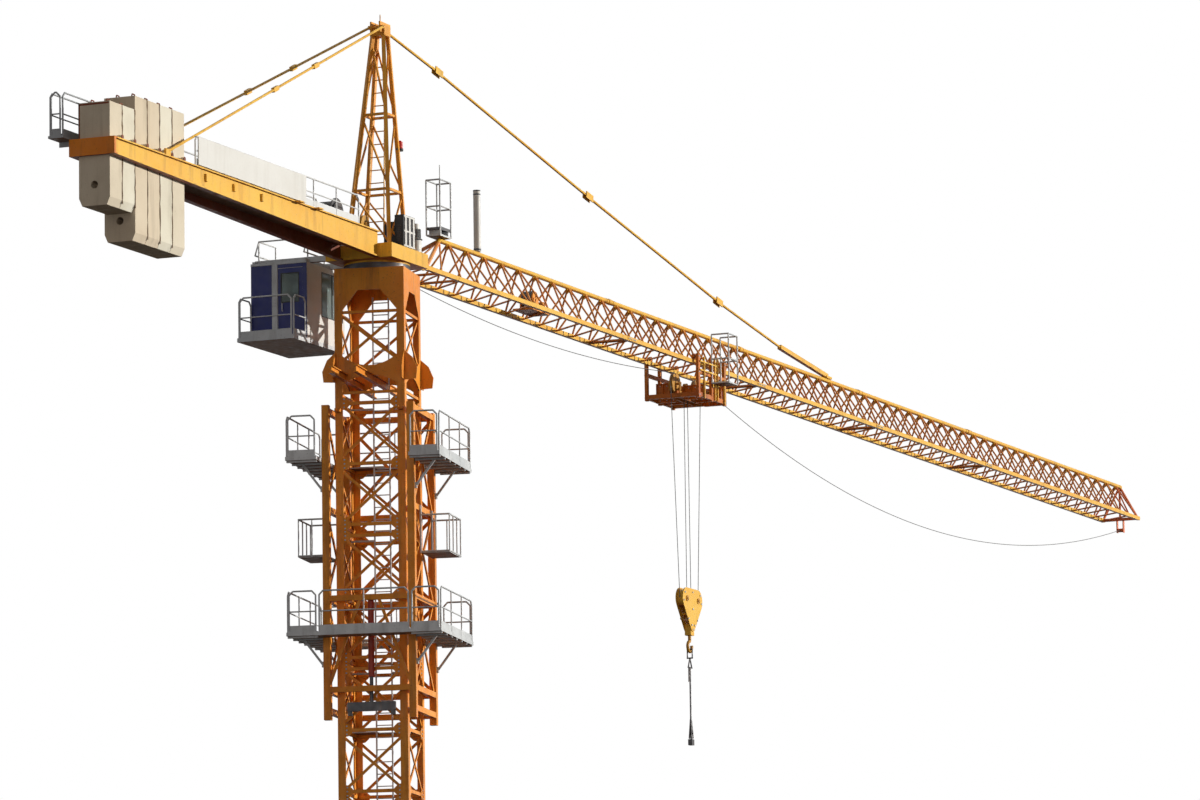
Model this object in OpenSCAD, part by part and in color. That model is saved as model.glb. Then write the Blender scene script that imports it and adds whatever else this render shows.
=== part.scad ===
// Hammerhead tower crane with climbing cage, modelled at half of its real size.
// Origin on the tower axis at the underside of the footing plates, +X along the jib, +Z up.

/* [Footing] */
// Height of the footing stubs under the first mast section
foot_h = 298; // [200:1:420]
// Side of each square footing plate
foot_plate = 300; // [260:1:360]
// Thickness of a footing plate
foot_plate_t = 28; // [16:1:40]
// Diameter of the anchor bolt holes
anchor_d = 30; // [18:1:36]
// Circle on which the four anchor bolts of a foot lie
anchor_pcd = 240; // [226:1:250]
// Width of the two crossing beams between the feet
cross_w = 96; // [70:1:110]
// Height of the two crossing beams between the feet
cross_h = 130; // [90:1:160]

/* [Mast] */
// Turn of the mast about the tower axis, relative to the jib
mast_turn = 11.2; // [0:0.1:45]
// Number of full mast sections
sections = 8; // [3:1:10]
// Height of one mast section
section_h = 1640; // [1400:1:1800]
// Outer width of the mast
mast_w = 880; // [820:1:920]
// Flange width of the corner angles
leg_w = 96; // [80:1:110]
// Thickness of the corner angles
leg_t = 14; // [10:1:18]
// Width of the mast braces
brace_w = 34; // [24:1:44]
// Thickness of the mast braces
brace_t = 16; // [12:1:20]
// Width of the ladder inside the mast
ladder_w = 200; // [180:1:240]
// Spacing of the ladder rungs
rung_step = 150; // [120:1:180]

/* [Ring support] */
// Height of the ring support above the last mast section
support_h = 1606; // [1400:1:1800]
// Height of the closed collar under the slewing ring
collar_h = 274; // [200:1:340]
// Wall of the ring support plates
support_t = 16; // [12:1:20]
// Reach of the cage lugs past the mast face
lug_reach = 160; // [145:1:170]
// Length of the two beams that carry a new section into the mast
intake_l = 2240; // [1900:10:2400]

/* [Slewing] */
// Outer diameter of the slewing ring
ring_d = 820; // [760:1:860]
// Height of the slewing ring
ring_h = 75; // [60:1:90]
// Length of the turntable along the jib
table_l = 1080; // [1000:1:1160]
// Width of the turntable
table_w = 900; // [840:1:940]
// Height of the turntable frame
table_h = 200; // [160:1:240]

/* [Climbing cage] */
// Outer width of the climbing cage
cage_w = 1160; // [1140:1:1200]
// Width of a cage post
cage_post = 88; // [76:1:92]
// Height of the climbing cage
cage_h = 3880; // [3700:1:4000]
// Gap between the top of the cage and the last mast joint
cage_drop = 100; // [80:1:200]
// Half width of the platforms along the mast face with the intake side
deck_x = 870; // [840:1:920]
// Half width of the platforms across
deck_y = 970; // [930:1:1020]
// Height of the platform railings
rail_h = 500; // [450:1:550]
// Diameter of the railing tubes
rail_d = 22; // [16:1:26]

/* [Jib] */
// Distance of the jib tip from the tower axis
jib_l = 28600; // [24000:10:30000]
// Distance of the jib foot from the tower axis
jib_foot = 700; // [680:1:760]
// Height of the jib over its chords
jib_h = 590; // [520:1:640]
// Width of the jib over its bottom chords
jib_w = 650; // [600:1:700]
// Size of a bottom chord
chord_w = 56; // [48:1:64]
// Diameter of the top chord
top_chord_d = 64; // [54:1:72]
// Diameter of the lacing tubes
lacing_d = 26; // [20:1:30]
// Length of one lacing bay of the jib
bay = 467; // [430:1:540]

/* [Trolley] */
// Distance of the trolley from the tower axis
trolley_x = 10030; // [9000:10:12000]
// Length of the trolley frame
trolley_l = 1000; // [900:1:1100]
// Width of the trolley frame
trolley_w = 800; // [780:1:840]
// Diameter of the rope sheaves
sheave_d = 300; // [260:1:330]
// Diameter of the hoist rope
rope_d = 10; // [8:1:14]

/* [Hook block] */
// Depth of the top of the hook block below the jib
block_drop = 3030; // [2700:10:3400]
// Width of the hook block
block_w = 700; // [660:1:760]
// Height of the hook block cheeks
block_h = 600; // [560:1:660]
// Thickness over the cheeks of the hook block
block_t = 110; // [100:1:140]
// Length of the sling under the hook
sling_l = 1430; // [1000:10:1800]

/* [Counter jib] */
// Distance of the end beam of the counter jib from the tower axis
counter_l = 7640; // [7600:10:7900]
// Width over the beams of the counter jib
counter_w = 580; // [560:1:620]
// Depth of the beams at the rear
beam_rear_h = 200; // [170:1:240]
// Depth of the beams at the turntable
beam_root_h = 330; // [300:1:360]
// Length of the blank panel on the railing
panel_l = 2900; // [2400:10:3200]
// Height of the blank panel on the railing
panel_h = 330; // [280:1:380]

/* [Ballast] */
// Thickness of one ballast block
slab_t = 308; // [290:1:312]
// Width of one ballast block
slab_w = 394; // [370:1:400]
// Height of the four tall ballast blocks
slab_tall = 1680; // [1500:10:1760]
// Height of the two short ballast blocks
slab_short = 1195; // [1100:10:1300]
// Diameter of the round hole in a ballast block
slab_hole_d = 90; // [60:1:110]

/* [Tower head] */
// Height of the tower head above the jib
head_h = 3000; // [2800:10:3200]
// Length of the foot of the tower head along the jib
head_l = 500; // [460:1:560]
// Width of the foot of the tower head
head_w = 570; // [540:1:600]
// Distance of the head top in front of the tower axis
head_lean = 160; // [120:1:200]
// Size of the legs of the tower head
head_leg = 46; // [40:1:54]

/* [Cab] */
// Length of the cab
cab_l = 1080; // [1000:1:1160]
// Width of the cab
cab_w = 770; // [740:1:800]
// Height of the cab
cab_h = 960; // [920:1:1000]
// Wall of the cab
cab_t = 22; // [16:1:28]
// Gap between the tower axis and the inner side of the cab
cab_y = 770; // [760:1:800]
// Length of the balcony behind the cab
balcony_l = 400; // [340:1:440]

/* [Hidden] */

mast_top = foot_h + sections * section_h;
jib_z = mast_top + support_h + ring_h + 61;
table_z = mast_top + support_h + ring_h;
hm = mast_w / 2;
hc = cage_w / 2;
panel_mid = section_h / 2;
in_t = 2;
lace_t = 26;
joint_z = 70;
gap = 0.3;
cage_top = mast_top - cage_drop;
cage_z = cage_top - cage_h;
lower_z = cage_top - 2870;
upper_z = cage_top - 710;
basket_z = cage_top - 1840;
deck_t = 46;
chord_y = jib_w / 2 - chord_w / 2;
top_z = jib_h - top_chord_d / 2;
jib_start = jib_foot + 1170;
foot_mid = (jib_foot + jib_start) / 2;
split_1 = jib_start + 5500;
bays_mid = 10;
split_2 = split_1 + bays_mid * bay;
split_3 = split_2 + bays_mid * bay;
split_4 = split_3 + bays_mid * bay;
hy = counter_w / 2;
beam_w = 80;
beam_top = 292;
slab_step = slab_t + 8;
slab_x0 = -counter_l + 26;

yellow = [0.93, 0.62, 0.12];
dark_yellow = [0.85, 0.45, 0.08];
galvanised = [0.62, 0.65, 0.68];
concrete = [0.85, 0.82, 0.72];
steel = [0.35, 0.36, 0.38];

// Straight square bar between two points
module bar(a, b, w, d) {
  v = b - a;
  l = norm(v);
  translate(a) rotate([0, acos(v[2] / l), atan2(v[1], v[0])])
    translate([-d / 2, -w / 2, 0]) cube([d, w, l]);
}

// Straight tube between two points, with eight sides
module tube(a, b, d, sides = 8) {
  v = b - a;
  l = norm(v);
  translate(a) rotate([0, acos(v[2] / l), atan2(v[1], v[0])]) cylinder(h = l, d = d, $fn = sides);
}

// Block given by its lowest corner and highest corner
module block(a, b) {
  translate(a) cube(b - a);
}

// Children in the frame of a mast side: outward along -X, across along Y
module side(i) {
  rotate([0, 0, mast_turn + 90 * i]) children();
}

module on_mast() {
  rotate([0, 0, mast_turn]) children();
}

module on_jib() {
  translate([0, 0, jib_z]) children();
}

// Flat bar in the plane of a side, from depth d0 to d1 behind the face at half width h
module face_bar(h, y0, z0, y1, z1, w, d0, d1) {
  dy = y1 - y0;
  dz = z1 - z0;
  translate([-h + d0, y0, z0]) rotate([atan2(dz, dy), 0, 0])
    translate([0, 0, -w / 2]) cube([d1 - d0, norm([dy, dz]), w]);
}

module corner_angle(h, w, t, z0, z1) {
  translate([-h, -h, z0]) linear_extrude(z1 - z0)
    polygon([[0, 0], [w, 0], [w, t], [t, t], [t, w], [0, w]]);
}

// Crossed braces and level bars of one mast side, behind the flanges of the corner angles
module mast_side(i) {
  e = hm - leg_w + 40;
  d = leg_t;
  color(dark_yellow) side(i) {
    for (s = [0 : sections - 1], p = [0, 1]) {
      z0 = foot_h + s * section_h + p * panel_mid;
      face_bar(hm, -e, z0 + joint_z, e, z0 + panel_mid - joint_z, brace_w, d, d + brace_t);
      face_bar(hm, e, z0 + joint_z, -e, z0 + panel_mid - joint_z, brace_w, d + 5, d + 5 + brace_t);
    }
    for (s = [0 : sections - 1], z = [joint_z, panel_mid, section_h - joint_z])
      face_bar(hm, -e, foot_h + s * section_h + z, e, foot_h + s * section_h + z, brace_w + 8, d,
        d + lace_t);
  }
}

// Corner angles of the mast with the bolt sleeves of the section joints in their hollow
module mast_legs() {
  a = -hm + leg_t - in_t;
  color(dark_yellow) for (i = [0 : 3]) side(i) {
    corner_angle(hm, leg_w, leg_t, foot_h, mast_top);
    for (s = [1 : sections - 1]) block([a, a, foot_h + s * section_h - 45],
      [a + 30, a + 30, foot_h + s * section_h + 45]);
  }
}

foot_c = hm - 48;

module base_feet() {
  color(dark_yellow) on_mast() {
    for (a = [45, 135]) rotate([0, 0, a]) block([-foot_c * 1.38, -cross_w / 2, 0],
      [foot_c * 1.38, cross_w / 2, cross_h]);
    for (sx = [0, 1], sy = [0, 1]) mirror([sx, 0, 0]) mirror([0, sy, 0]) foot();
  }
}

// One foot: plate with four anchor holes, stub of the leg and two gussets
module foot() {
  difference() {
    union() {
      corner_angle(hm, leg_w, leg_t, 0, foot_h);
      translate([-foot_c - foot_plate / 2, -foot_c - foot_plate / 2, 0])
        cube([foot_plate, foot_plate, foot_plate_t]);
      translate([-hm + 4, -hm + 4, foot_plate_t - 1]) rotate([90, 0, 0]) linear_extrude(12)
        polygon([[0, 0], [-90, 0], [-16, 170], [0, 170]]);
      translate([-hm + 4, -hm + 4, foot_plate_t - 1]) rotate([90, 0, -90]) linear_extrude(12)
        polygon([[0, 0], [90, 0], [16, 170], [0, 170]]);
    }
    for (a = [0 : 90 : 270]) translate([-foot_c, -foot_c, 0]) rotate([0, 0, a])
      translate([anchor_pcd / 2, 0, -1]) cylinder(h = foot_plate_t + 2, d = anchor_d, $fn = 32);
  }
}

module mast_ladder() {
  ladder_x = 150;
  low = foot_h + 60;
  high = mast_top + support_h - collar_h;
  color(galvanised) on_mast() {
    for (y = [-ladder_w / 2, ladder_w / 2]) block([ladder_x, y - 8, low], [ladder_x + 24, y + 8, high]);
    for (z = [low + 60 : rung_step : high - 40]) if (z < intake_z - 20 || z > intake_z + intake_d)
      block([ladder_x + 6, -ladder_w / 2, z], [ladder_x + 18, ladder_w / 2, z + 12]);
    inner = hm - leg_t - lace_t;
    for (s = [1 : sections], m = [0, 1]) mirror([0, m, 0]) {
      z = foot_h + s * section_h - 70;
      block([ladder_x + 4, ladder_w / 2 - 4, z - 12], [ladder_x + 28, inner, z + 12]);
    }
    for (s = [1 : 2 : sections]) {
      z = foot_h + s * section_h + panel_mid + (brace_w + 8) / 2;
      block([ladder_x + 180, -inner - 12, z], [inner + 12, inner + 12, z + 14]);
      block([ladder_x + 18, ladder_w / 2 + 2, z], [ladder_x + 190, inner + 12, z + 14]);
      block([ladder_x + 10, ladder_w / 2 + 2, z], [ladder_x + 24, ladder_w / 2 - 6, z + 14]);
    }
  }
}

module ring_support() {
  top = mast_top + support_h;
  color(dark_yellow) on_mast() {
    difference() {
      block([-hm, -hm, top - collar_h], [hm, hm, top]);
      block([-hm + support_t, -hm + support_t, top - collar_h - 1],
        [hm - support_t, hm - support_t, top - 20]);
      translate([0, 0, top - 21]) cylinder(h = 22, d = ring_d - 240, $fn = 64);
    }
    intake_beams();
    for (i = [0 : 3]) rotate([0, 0, 90 * i]) {
      corner_angle(hm, leg_w, leg_t, mast_top, top - collar_h + 4);
      gusset_plate(top - collar_h);
      arch_plate();
      e = hm - leg_w + 40;
      zb = mast_top + 430;
      zt = top - collar_h - 290;
      face_bar(hm, -e, zb, e, zt, brace_w, 13, 13 + brace_t);
      face_bar(hm, e, zb, -e, zt, brace_w, 18, 18 + brace_t);
      face_bar(hm, -e, zt + 20, e, zt + 20, brace_w, 12, 40);
      face_bar(hm, -e, mast_top + 60, e, mast_top + 60, brace_w, 12, 40);
    }
  }
}

// Corner gussets that widen the legs under the collar
module gusset_plate(z) {
  for (m = [0, 1]) mirror([0, m, 0]) translate([-hm, 0, 0]) rotate([90, 0, 90]) linear_extrude(leg_t)
    polygon([[-hm + 20, z + 4], [-hm + 300, z + 4], [-hm + leg_w, z - 250], [-hm + 20, z - 250]]);
}

// Saddle plate between the legs, hollow at its upper edge, with the lugs that hold the cage
module arch_plate() {
  m = mast_top;
  half = [[hm + lug_reach, m + 330], [hm + lug_reach - 60, m + 470], [hm, m + 560], [0, m + 560]];
  foot = [[0, m + 190], [hm - 130, m + 190], [hm - leg_w, m + 10], [hm - 20, m + 10], [hm - 20, m + 190],
    [hm + lug_reach - 15, m + 200]];
  translate([-hm - 2, 0, 0]) rotate([90, 0, 90]) linear_extrude(leg_t + 1) difference() {
    for (n = [0, 1]) mirror([n, 0]) polygon(concat(foot, half));
    translate([0, m + 923]) circle(r = 531, $fn = 72);
    translate([0, m - 332]) circle(r = 602, $fn = 72);
  }
}

intake_z = mast_top + 195;
intake_d = 92;

// Beams that carry a new mast section in from the open side of the cage
module intake_beams() {
  for (y = [-10, 300]) {
    block([-intake_l + 1040, y - 6, intake_z], [1040, y + 6, intake_z + intake_d]);
    for (z = [intake_z, intake_z + intake_d - 12])
      block([-intake_l + 1040, y - 30, z], [1040, y + 30, z + 12]);
  }
}

module slewing_ring() {
  color(steel) translate([0, 0, mast_top + support_h]) difference() {
    cylinder(h = ring_h - gap, d = ring_d, $fn = 72);
    translate([0, 0, -1]) cylinder(h = ring_h + 2, d = ring_d - 160, $fn = 72);
    for (a = [0 : 30 : 330]) rotate([0, 0, a]) translate([ring_d / 2 - 30, 0, -1])
      cylinder(h = ring_h + 2, d = 18, $fn = 24);
  }
}

// Corner post of the cage, with its guide rollers' bracket
module cage_post_pair(z0, z1) {
  for (m = [0, 1]) mirror([0, m, 0]) block([-hc, -hc, z0], [-hc + cage_post, -hc + cage_post, z1]);
}

module cage_bracing(zs, d0) {
  e = hc - cage_post + 20;
  for (k = [0 : len(zs) - 2]) {
    face_bar(hc, -e, zs[k] + 60, e, zs[k + 1] - 60, 40, d0, d0 + 20);
    face_bar(hc, e, zs[k] + 60, -e, zs[k + 1] - 60, 40, d0 + 6, d0 + 26);
  }
}

module cage_beams(zs, d0, d1) {
  e = hc - cage_post + 20;
  for (z = zs) face_bar(hc, -e, z, e, z, 70, d0, d1);
}

// Guide rollers of the cage on the outer faces of the mast legs
module guide_rollers(zs) {
  r = 24;
  for (z = zs, m = [0, 1]) mirror([0, m, 0]) {
    translate([-hm - gap - r, hm - 46, z]) rotate([90, 0, 0])
      cylinder(h = 36, d = 2 * r, center = true, $fn = 32);
    for (y = [hm - 78, hm - 30]) block([-hc + 40, y, z - 20], [-hm - gap - r + 10, y + 16, z + 20]);
  }
}

cage_levels = [cage_z + 120, cage_z + 370, cage_z + 1490, cage_z + 2600, cage_top - 60];

module cage_front() {
  color(dark_yellow) side(0) {
    cage_post_pair(cage_z, cage_top);
    cage_beams([cage_levels[1], cage_levels[2]], 4, thin_beam);
    face_bar(hc, -hc + 60, cage_levels[1] + 30, -120, cage_levels[2] - 30, 36, 12, 38);
    face_bar(hc, hc - 60, cage_levels[1] + 30, 120, cage_levels[2] - 30, 36, 12, 38);
    guide_rollers([cage_levels[1], cage_levels[4]]);
  }
}

module cage_rear() {
  color(dark_yellow) side(2) {
    cage_post_pair(cage_z, cage_top);
    cage_beams(cage_levels, 4, 74);
    cage_bracing([cage_levels[1], cage_levels[2], cage_levels[3], cage_levels[4]], 22);
    guide_rollers([cage_levels[1], cage_levels[4]]);
  }
}

module cage_flank(i) {
  color(dark_yellow) side(i) {
    e = hc - cage_post;
    for (z = cage_levels) face_bar(hc, -e, z, e, z, 70, 4, 74);
    for (k = [1 : 3]) {
      face_bar(hc, -e + 16, cage_levels[k] + 40, e - 16, cage_levels[k + 1] - 40, 40, 22, 42);
      face_bar(hc, e - 16, cage_levels[k] + 40, -e + 16, cage_levels[k + 1] - 40, 40, 28, 48);
    }
  }
}

// Railing frame from a to b at deck level: posts, knee tube, toe board and a top tube with bent ends
module rail_frame(a, b, z, h, d) {
  v = b - a;
  l = norm(v);
  r = 48;
  n = max(1, round(l / 620));
  translate([a[0], a[1], z]) rotate([0, 0, atan2(v[1], v[0])]) {
    for (x = [0, l]) tube([x, 0, -4], [x, 0, h - r], d);
    tube([r, 0, h], [l - r, 0, h], d);
    tube([0, 0, h / 2], [l, 0, h / 2], d * 0.8);
    for (m = [0, l]) tube([m, 0, h - r - 2], [abs(m - r), 0, h + 1], d);
    if (n > 1) for (k = [1 : n - 1]) tube([l * k / n, 0, -4], [l * k / n, 0, h], d * 0.8);
    block([0, -3, 0], [l, 3, 80]);
  }
}

// Railing frames along a polyline, with their end posts side by side at the corners
module railing(pts, z, h, d) {
  for (k = [0 : len(pts) - 2]) {
    u = (pts[k + 1] - pts[k]) / norm(pts[k + 1] - pts[k]);
    rail_frame(pts[k] + u * d, pts[k + 1] - u * d, z, h, d);
  }
}

// Struts under a platform, with pads on the cage posts
module deck_struts(z) {
  x = hc - cage_post / 2;
  for (m = [0, 1], n = [0, 1]) mirror([m, 0, 0]) mirror([0, n, 0]) {
    bar([x, deck_y - 120, z + 10], [x, hc + 20, z - 320], 26, 26);
    block([x - 20, hc, z - 360], [x + 20, hc + 26, z - 290]);
  }
}

// Deck strip between two corners with railing frames on it
module deck_strip(a, b, z, rails) {
  block([a[0], a[1], z], [b[0], b[1], z + deck_t]);
  for (r = rails) railing(r, z + deck_t, rail_h, rail_d);
}

// Platform strips along both flanks, past the corners of the cage
module flank_strips(z) {
  x = deck_x - 12;
  y = deck_y - 12;
  for (m = [0, 1]) mirror([0, m, 0])
    deck_strip([-deck_x, hc], [deck_x, deck_y], z, [[[-x, hc], [-x, y], [x, y], [x, hc]]]);
  deck_struts(z);
}

module cage_upper_platform() {
  color(galvanised) on_mast() {
    flank_strips(upper_z);
    deck_strip([hc, -hc + gap], [deck_x, hc - gap], upper_z, [[[deck_x - 12, -hc], [deck_x - 12, hc]]]);
  }
}

module cage_lower_platform() {
  color(galvanised) on_mast() {
    flank_strips(lower_z);
    for (m = [0, 1]) mirror([m, 0, 0])
      deck_strip([hc, -hc + gap], [deck_x, hc - gap], lower_z, [[[deck_x - 12, -hc], [deck_x - 12, hc]]]);
  }
}

// Small tubular work baskets halfway up both flanks
module cage_baskets() {
  color(galvanised) on_mast() for (m = [0, 1]) mirror([0, m, 0]) {
    y0 = hc + 12;
    y1 = y0 + 360;
    zb = cage_levels[3];
    block([-300, y0, basket_z], [300, y1, basket_z + 18]);
    for (x = [-300, 300]) block([x - 11, y0 - 11, basket_z], [x + 11, y0 + 11, zb + 34]);
    for (x = [-300, 300]) block([x - 20, hc - 4, zb - 30], [x + 20, y0 + 4, zb + 30]);
    for (z = [basket_z + 18, basket_z + 470]) {
      tube([-300, y0, z], [-300, y1, z], rail_d);
      tube([-300, y1, z], [300, y1, z], rail_d);
      tube([300, y1, z], [300, y0, z], rail_d);
    }
    for (x = [-300, -100, 100, 300]) tube([x, y1, basket_z + 4], [x, y1, basket_z + 470], rail_d * 0.8);
    for (x = [-300, 300]) tube([x, y0 + 190, basket_z + 4], [x, y0 + 190, basket_z + 470], rail_d * 0.8);
  }
}

thin_beam = 44;
jack_room = hc - thin_beam - hm;
jack_x = hm + jack_room / 2;
jack_d = jack_room - 20;
rod_d = jack_d * 0.6;
jack_top = cage_levels[2] + 30;

// Ram of the climbing jack, hung from the middle beam of the cage
module jack_cylinder() {
  color([0.75, 0.18, 0.08]) side(0) {
    difference() {
      translate([-jack_x, 0, jack_top - 1000]) cylinder(h = 1000, d = jack_d, $fn = 40);
      translate([-jack_x, 0, jack_top - 1001]) cylinder(h = 941, d = rod_d + 2 * gap, $fn = 40);
    }
    difference() {
      block([-hc + thin_beam, -50, jack_top - 62], [-jack_x, 50, jack_top]);
      translate([-jack_x, 0, jack_top - 80]) cylinder(h = 20, d = rod_d + 2 * gap, $fn = 40);
    }
  }
}

// Piston rod with the cross beam that steps on the mast
module jack_yoke() {
  x0 = -hc + thin_beam + 10;
  color(steel) side(0) {
    translate([-jack_x, 0, jack_top - 1320]) cylinder(h = 720, d = rod_d, $fn = 40);
    block([x0, -300, jack_top - 1420], [-hm - 24, 300, jack_top - 1310]);
    for (m = [-1, 1]) block([x0 + 6, m * 270 - 24, jack_top - 1470],
      [-hm - 20, m * 270 + 24, jack_top - 1400]);
  }
}

module turntable() {
  color(yellow) translate([0, 0, table_z]) {
    difference() {
      union() {
        cylinder(h = 30, d = ring_d, $fn = 72);
        block([-table_l / 2, -table_w / 2, 22], [table_l / 2, table_w / 2, table_h]);
      }
      translate([0, 0, -1]) cylinder(h = table_h + 2, d = 520, $fn = 64);
    }
    for (m = [-1, 1]) difference() {
      block([table_l / 2 - 4, m * chord_y - 13, 40], [jib_foot + 40, m * chord_y + 13, 140]);
      translate([jib_foot, m * chord_y - 14, jib_z - table_z + chord_w / 2]) rotate([-90, 0, 0])
        cylinder(h = 28, d = pin_d + 2 * gap, $fn = 32);
    }
  }
}

pin_d = 30;
deck_top = beam_top - 120;

// Wheel that leads the hoist rope, between two plates on the turntable
module lead_sheave() {
  color(steel) translate([-370, 0, table_z + table_h]) {
    translate([0, 0, 270]) rotate([90, 0, 0]) cylinder(h = 40, d = 245, center = true, $fn = 48);
    translate([0, 0, 270]) rotate([90, 0, 0]) cylinder(h = 90, d = 40, center = true, $fn = 24);
    for (y = [-44, 32]) block([-34, y, 0], [34, y + 12, 300]);
  }
}

module slew_motors() {
  color([0.8, 0.8, 0.78]) translate([0, 0, table_z + table_h]) for (p = [[430, -330], [-430, 330]]) {
    translate([p[0], p[1], 0]) {
      cylinder(h = 190, d = 150, $fn = 40);
      translate([0, 0, 189]) cylinder(h = 130, d = 116, $fn = 40);
      translate([0, 0, 318]) cylinder(h = 60, d = 96, $fn = 40);
    }
  }
}

module hoist_winch() {
  color(steel) translate([-1500, 0, jib_z + deck_top]) {
    translate([0, 0, 200]) rotate([90, 0, 0]) cylinder(h = 370, d = 280, center = true, $fn = 48);
    for (y = [-168, 150]) translate([0, y, 200]) rotate([-90, 0, 0]) cylinder(h = 18, d = 370, $fn = 48);
    for (y = [-204, 176]) block([-190, y, 0], [190, y + 28, 220]);
    translate([330, -150, 105]) rotate([-90, 0, 0]) cylinder(h = 300, d = 190, $fn = 40);
    block([150, -120, 0], [460, 120, 60]);
  }
}

module switch_cabinet() {
  color([0.12, 0.13, 0.15]) translate([0, 0, table_z + table_h]) {
    block([-165, -table_w / 2 + 10, 0], [175, -table_w / 2 + 130, 404]);
    block([340, -150, 0], [table_l / 2 - 10, 60, 419]);
  }
}

eye_x = 122;
eye_pin = 22;

// Lattice tower head: four legs, two rings, cross braces and a top block
function head_pt(sx, sy, t) = [
  sx * head_l / 2 * (1 - t) + t * (head_lean + sx * 60),
  sy * (head_w / 2 * (1 - t) + t * 70),
  (table_z + table_h - jib_z) * (1 - t) + t * (head_h - 90)];

module tower_head() {
  levels = [0, 0.27, 0.62, 0.97];
  color(yellow) on_jib() {
    for (sx = [-1, 1], sy = [-1, 1]) {
      bar(head_pt(sx, sy, 0.006), head_pt(sx, sy, 1), head_leg, head_leg);
      translate(head_pt(sx, sy, 0)) block([-45, -45, 0], [45, 45, 22]);
    }
    for (k = [1, 2]) for (s = [-1, 1]) {
      bar(head_pt(s, -1, levels[k]), head_pt(s, 1, levels[k]), 30, 30);
      bar(head_pt(-1, s, levels[k]), head_pt(1, s, levels[k]), 30, 30);
    }
    for (k = [0 : 2]) for (s = [-1, 1]) {
      bar(head_pt(s, -1, levels[k] + 0.02), head_pt(s, 1, levels[k + 1] - 0.02), 20, 20);
      bar(head_pt(-1, s, levels[k] + 0.02), head_pt(1, s, levels[k + 1] - 0.02), 20, 20);
    }
    block([head_lean - 90, -100, head_h - 130], [head_lean + 90, 100, head_h]);
    for (s = [-1, 1]) block([head_lean - 152, s * 60 - 10, head_h - 90],
      [head_lean + 152, s * 60 + 10, head_h + 40]);
    translate([head_lean + eye_x, 0, head_h - 30]) rotate([90, 0, 0])
      cylinder(h = 110, d = eye_pin, center = true, $fn = 24);
    translate([head_lean - eye_x, 0, head_h - 30]) rotate([90, 0, 0])
      cylinder(h = 220, d = eye_pin, center = true, $fn = 24);
    tube([head_lean, 0, head_h - 10], [head_lean, 0, head_h + 150], 14);
  }
}

// One stretch of the triangular jib between x0 and x1 with n bays
module jib_stretch(x0, x1, n) {
  step = (x1 - x0) / n;
  zc = chord_w / 2;
  for (m = [-1, 1]) block([x0, m * chord_y - chord_w / 2, 0], [x1, m * chord_y + chord_w / 2, chord_w]);
  tube([x0, 0, top_z], [x1, 0, top_z], top_chord_d, 12);
  for (k = [0 : n - 1]) {
    xa = x0 + k * step;
    for (m = [-1, 1]) {
      tube([xa + step * 0.06, m * chord_y, zc], [xa + step / 2, 0, top_z], lacing_d, 6);
      tube([xa + step * 0.94, m * chord_y, zc], [xa + step / 2, 0, top_z], lacing_d, 6);
    }
    tube([xa + 30, -chord_y, zc], [xa + step - 30, chord_y, zc], lacing_d, 6);
  }
  for (x = [x0 + 26, x1 - 26]) tube([x, -chord_y, zc], [x, chord_y, zc], lacing_d + 8, 6);
}

// Foot of the jib: forked pin eyes, side ties and the bracket of the trolley rope
module jib_foot_frame() {
  zc = chord_w / 2;
  for (m = [-1, 1]) {
    block([jib_foot + 60, m * chord_y - chord_w / 2, 0],
      [jib_start + 1, m * chord_y + chord_w / 2, chord_w]);
    for (n = [-1, 1]) translate([0, m * chord_y + n * (chord_w / 2 + 13 + gap) / 2, 0])
      block([jib_foot - 40, -(chord_w / 2 - 13 - gap) / 2, -6],
        [jib_foot + 110, (chord_w / 2 - 13 - gap) / 2, chord_w + 6]);
    translate([jib_foot, m * chord_y, zc]) rotate([90, 0, 0])
      cylinder(h = chord_w + 16, d = pin_d, center = true, $fn = 32);
    tube([jib_foot + 110, m * chord_y, zc], [jib_start + 8, 0, top_z], 50, 8);
    tube([foot_mid, m * chord_y, zc], [jib_start + 8, 0, top_z], lacing_d, 6);
  }
  for (x = [jib_foot + 95, foot_mid]) tube([x, -chord_y, zc], [x, chord_y, zc], lacing_d + 8, 6);
  block([jib_foot + 80, -30, -150], [jib_foot + 110, 30, zc]);
  tube([jib_foot + 110, -chord_y, zc], [foot_mid - 10, chord_y, zc], lacing_d, 6);
  tube([foot_mid + 10, -chord_y, zc], [jib_start, chord_y, zc], lacing_d, 6);
}

module jib_section_1() {
  color(yellow) on_jib() {
    jib_foot_frame();
    jib_stretch(jib_start, split_1, bays_mid);
  }
}

module jib_middle(x0, n) {
  color(yellow) on_jib() jib_stretch(x0, x0 + n * bay, n);
}

module jib_section_5() {
  n = round((jib_l - split_4) / bay);
  color(yellow) on_jib() {
    jib_stretch(split_4, jib_l, n);
    for (m = [-1, 1]) tube([jib_l - 30, m * chord_y, chord_w / 2], [jib_l - 30, 0, top_z], 40, 6);
    tube([jib_l - 40, 0, chord_w / 2], [jib_l - 40, 0, top_z], 36, 6);
    for (y = [-60, 46]) block([jib_l - 70, y, -190], [jib_l - 6, y + 14, 10]);
    translate([jib_l - 30, 0, -150]) rotate([90, 0, 0]) cylinder(h = 100, r = 30, center = true, $fn = 32);
    block([jib_l - 62, -chord_y, 4], [jib_l - 18, chord_y, 50]);
  }
}

module jib_access_cage() {
  x0 = jib_start - 170;
  z0 = jib_h;
  color(galvanised) on_jib() {
    block([x0, -95, z0 + gap], [x0 + 330, 95, z0 + 22]);
    for (z = [z0 + 380, z0 + 720]) {
      for (y = [-95, 95]) tube([x0, y, z], [x0 + 330, y, z], rail_d);
      for (x = [x0, x0 + 330]) tube([x, -95, z], [x, 95, z], rail_d);
    }
    for (x = [x0, x0 + 330], y = [-95, 95]) tube([x, y, z0 + 10], [x, y, z0 + 720], rail_d);
    tube([x0, -95, z0 + 700], [x0, -95, z0 + 900], 12);
  }
}

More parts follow.
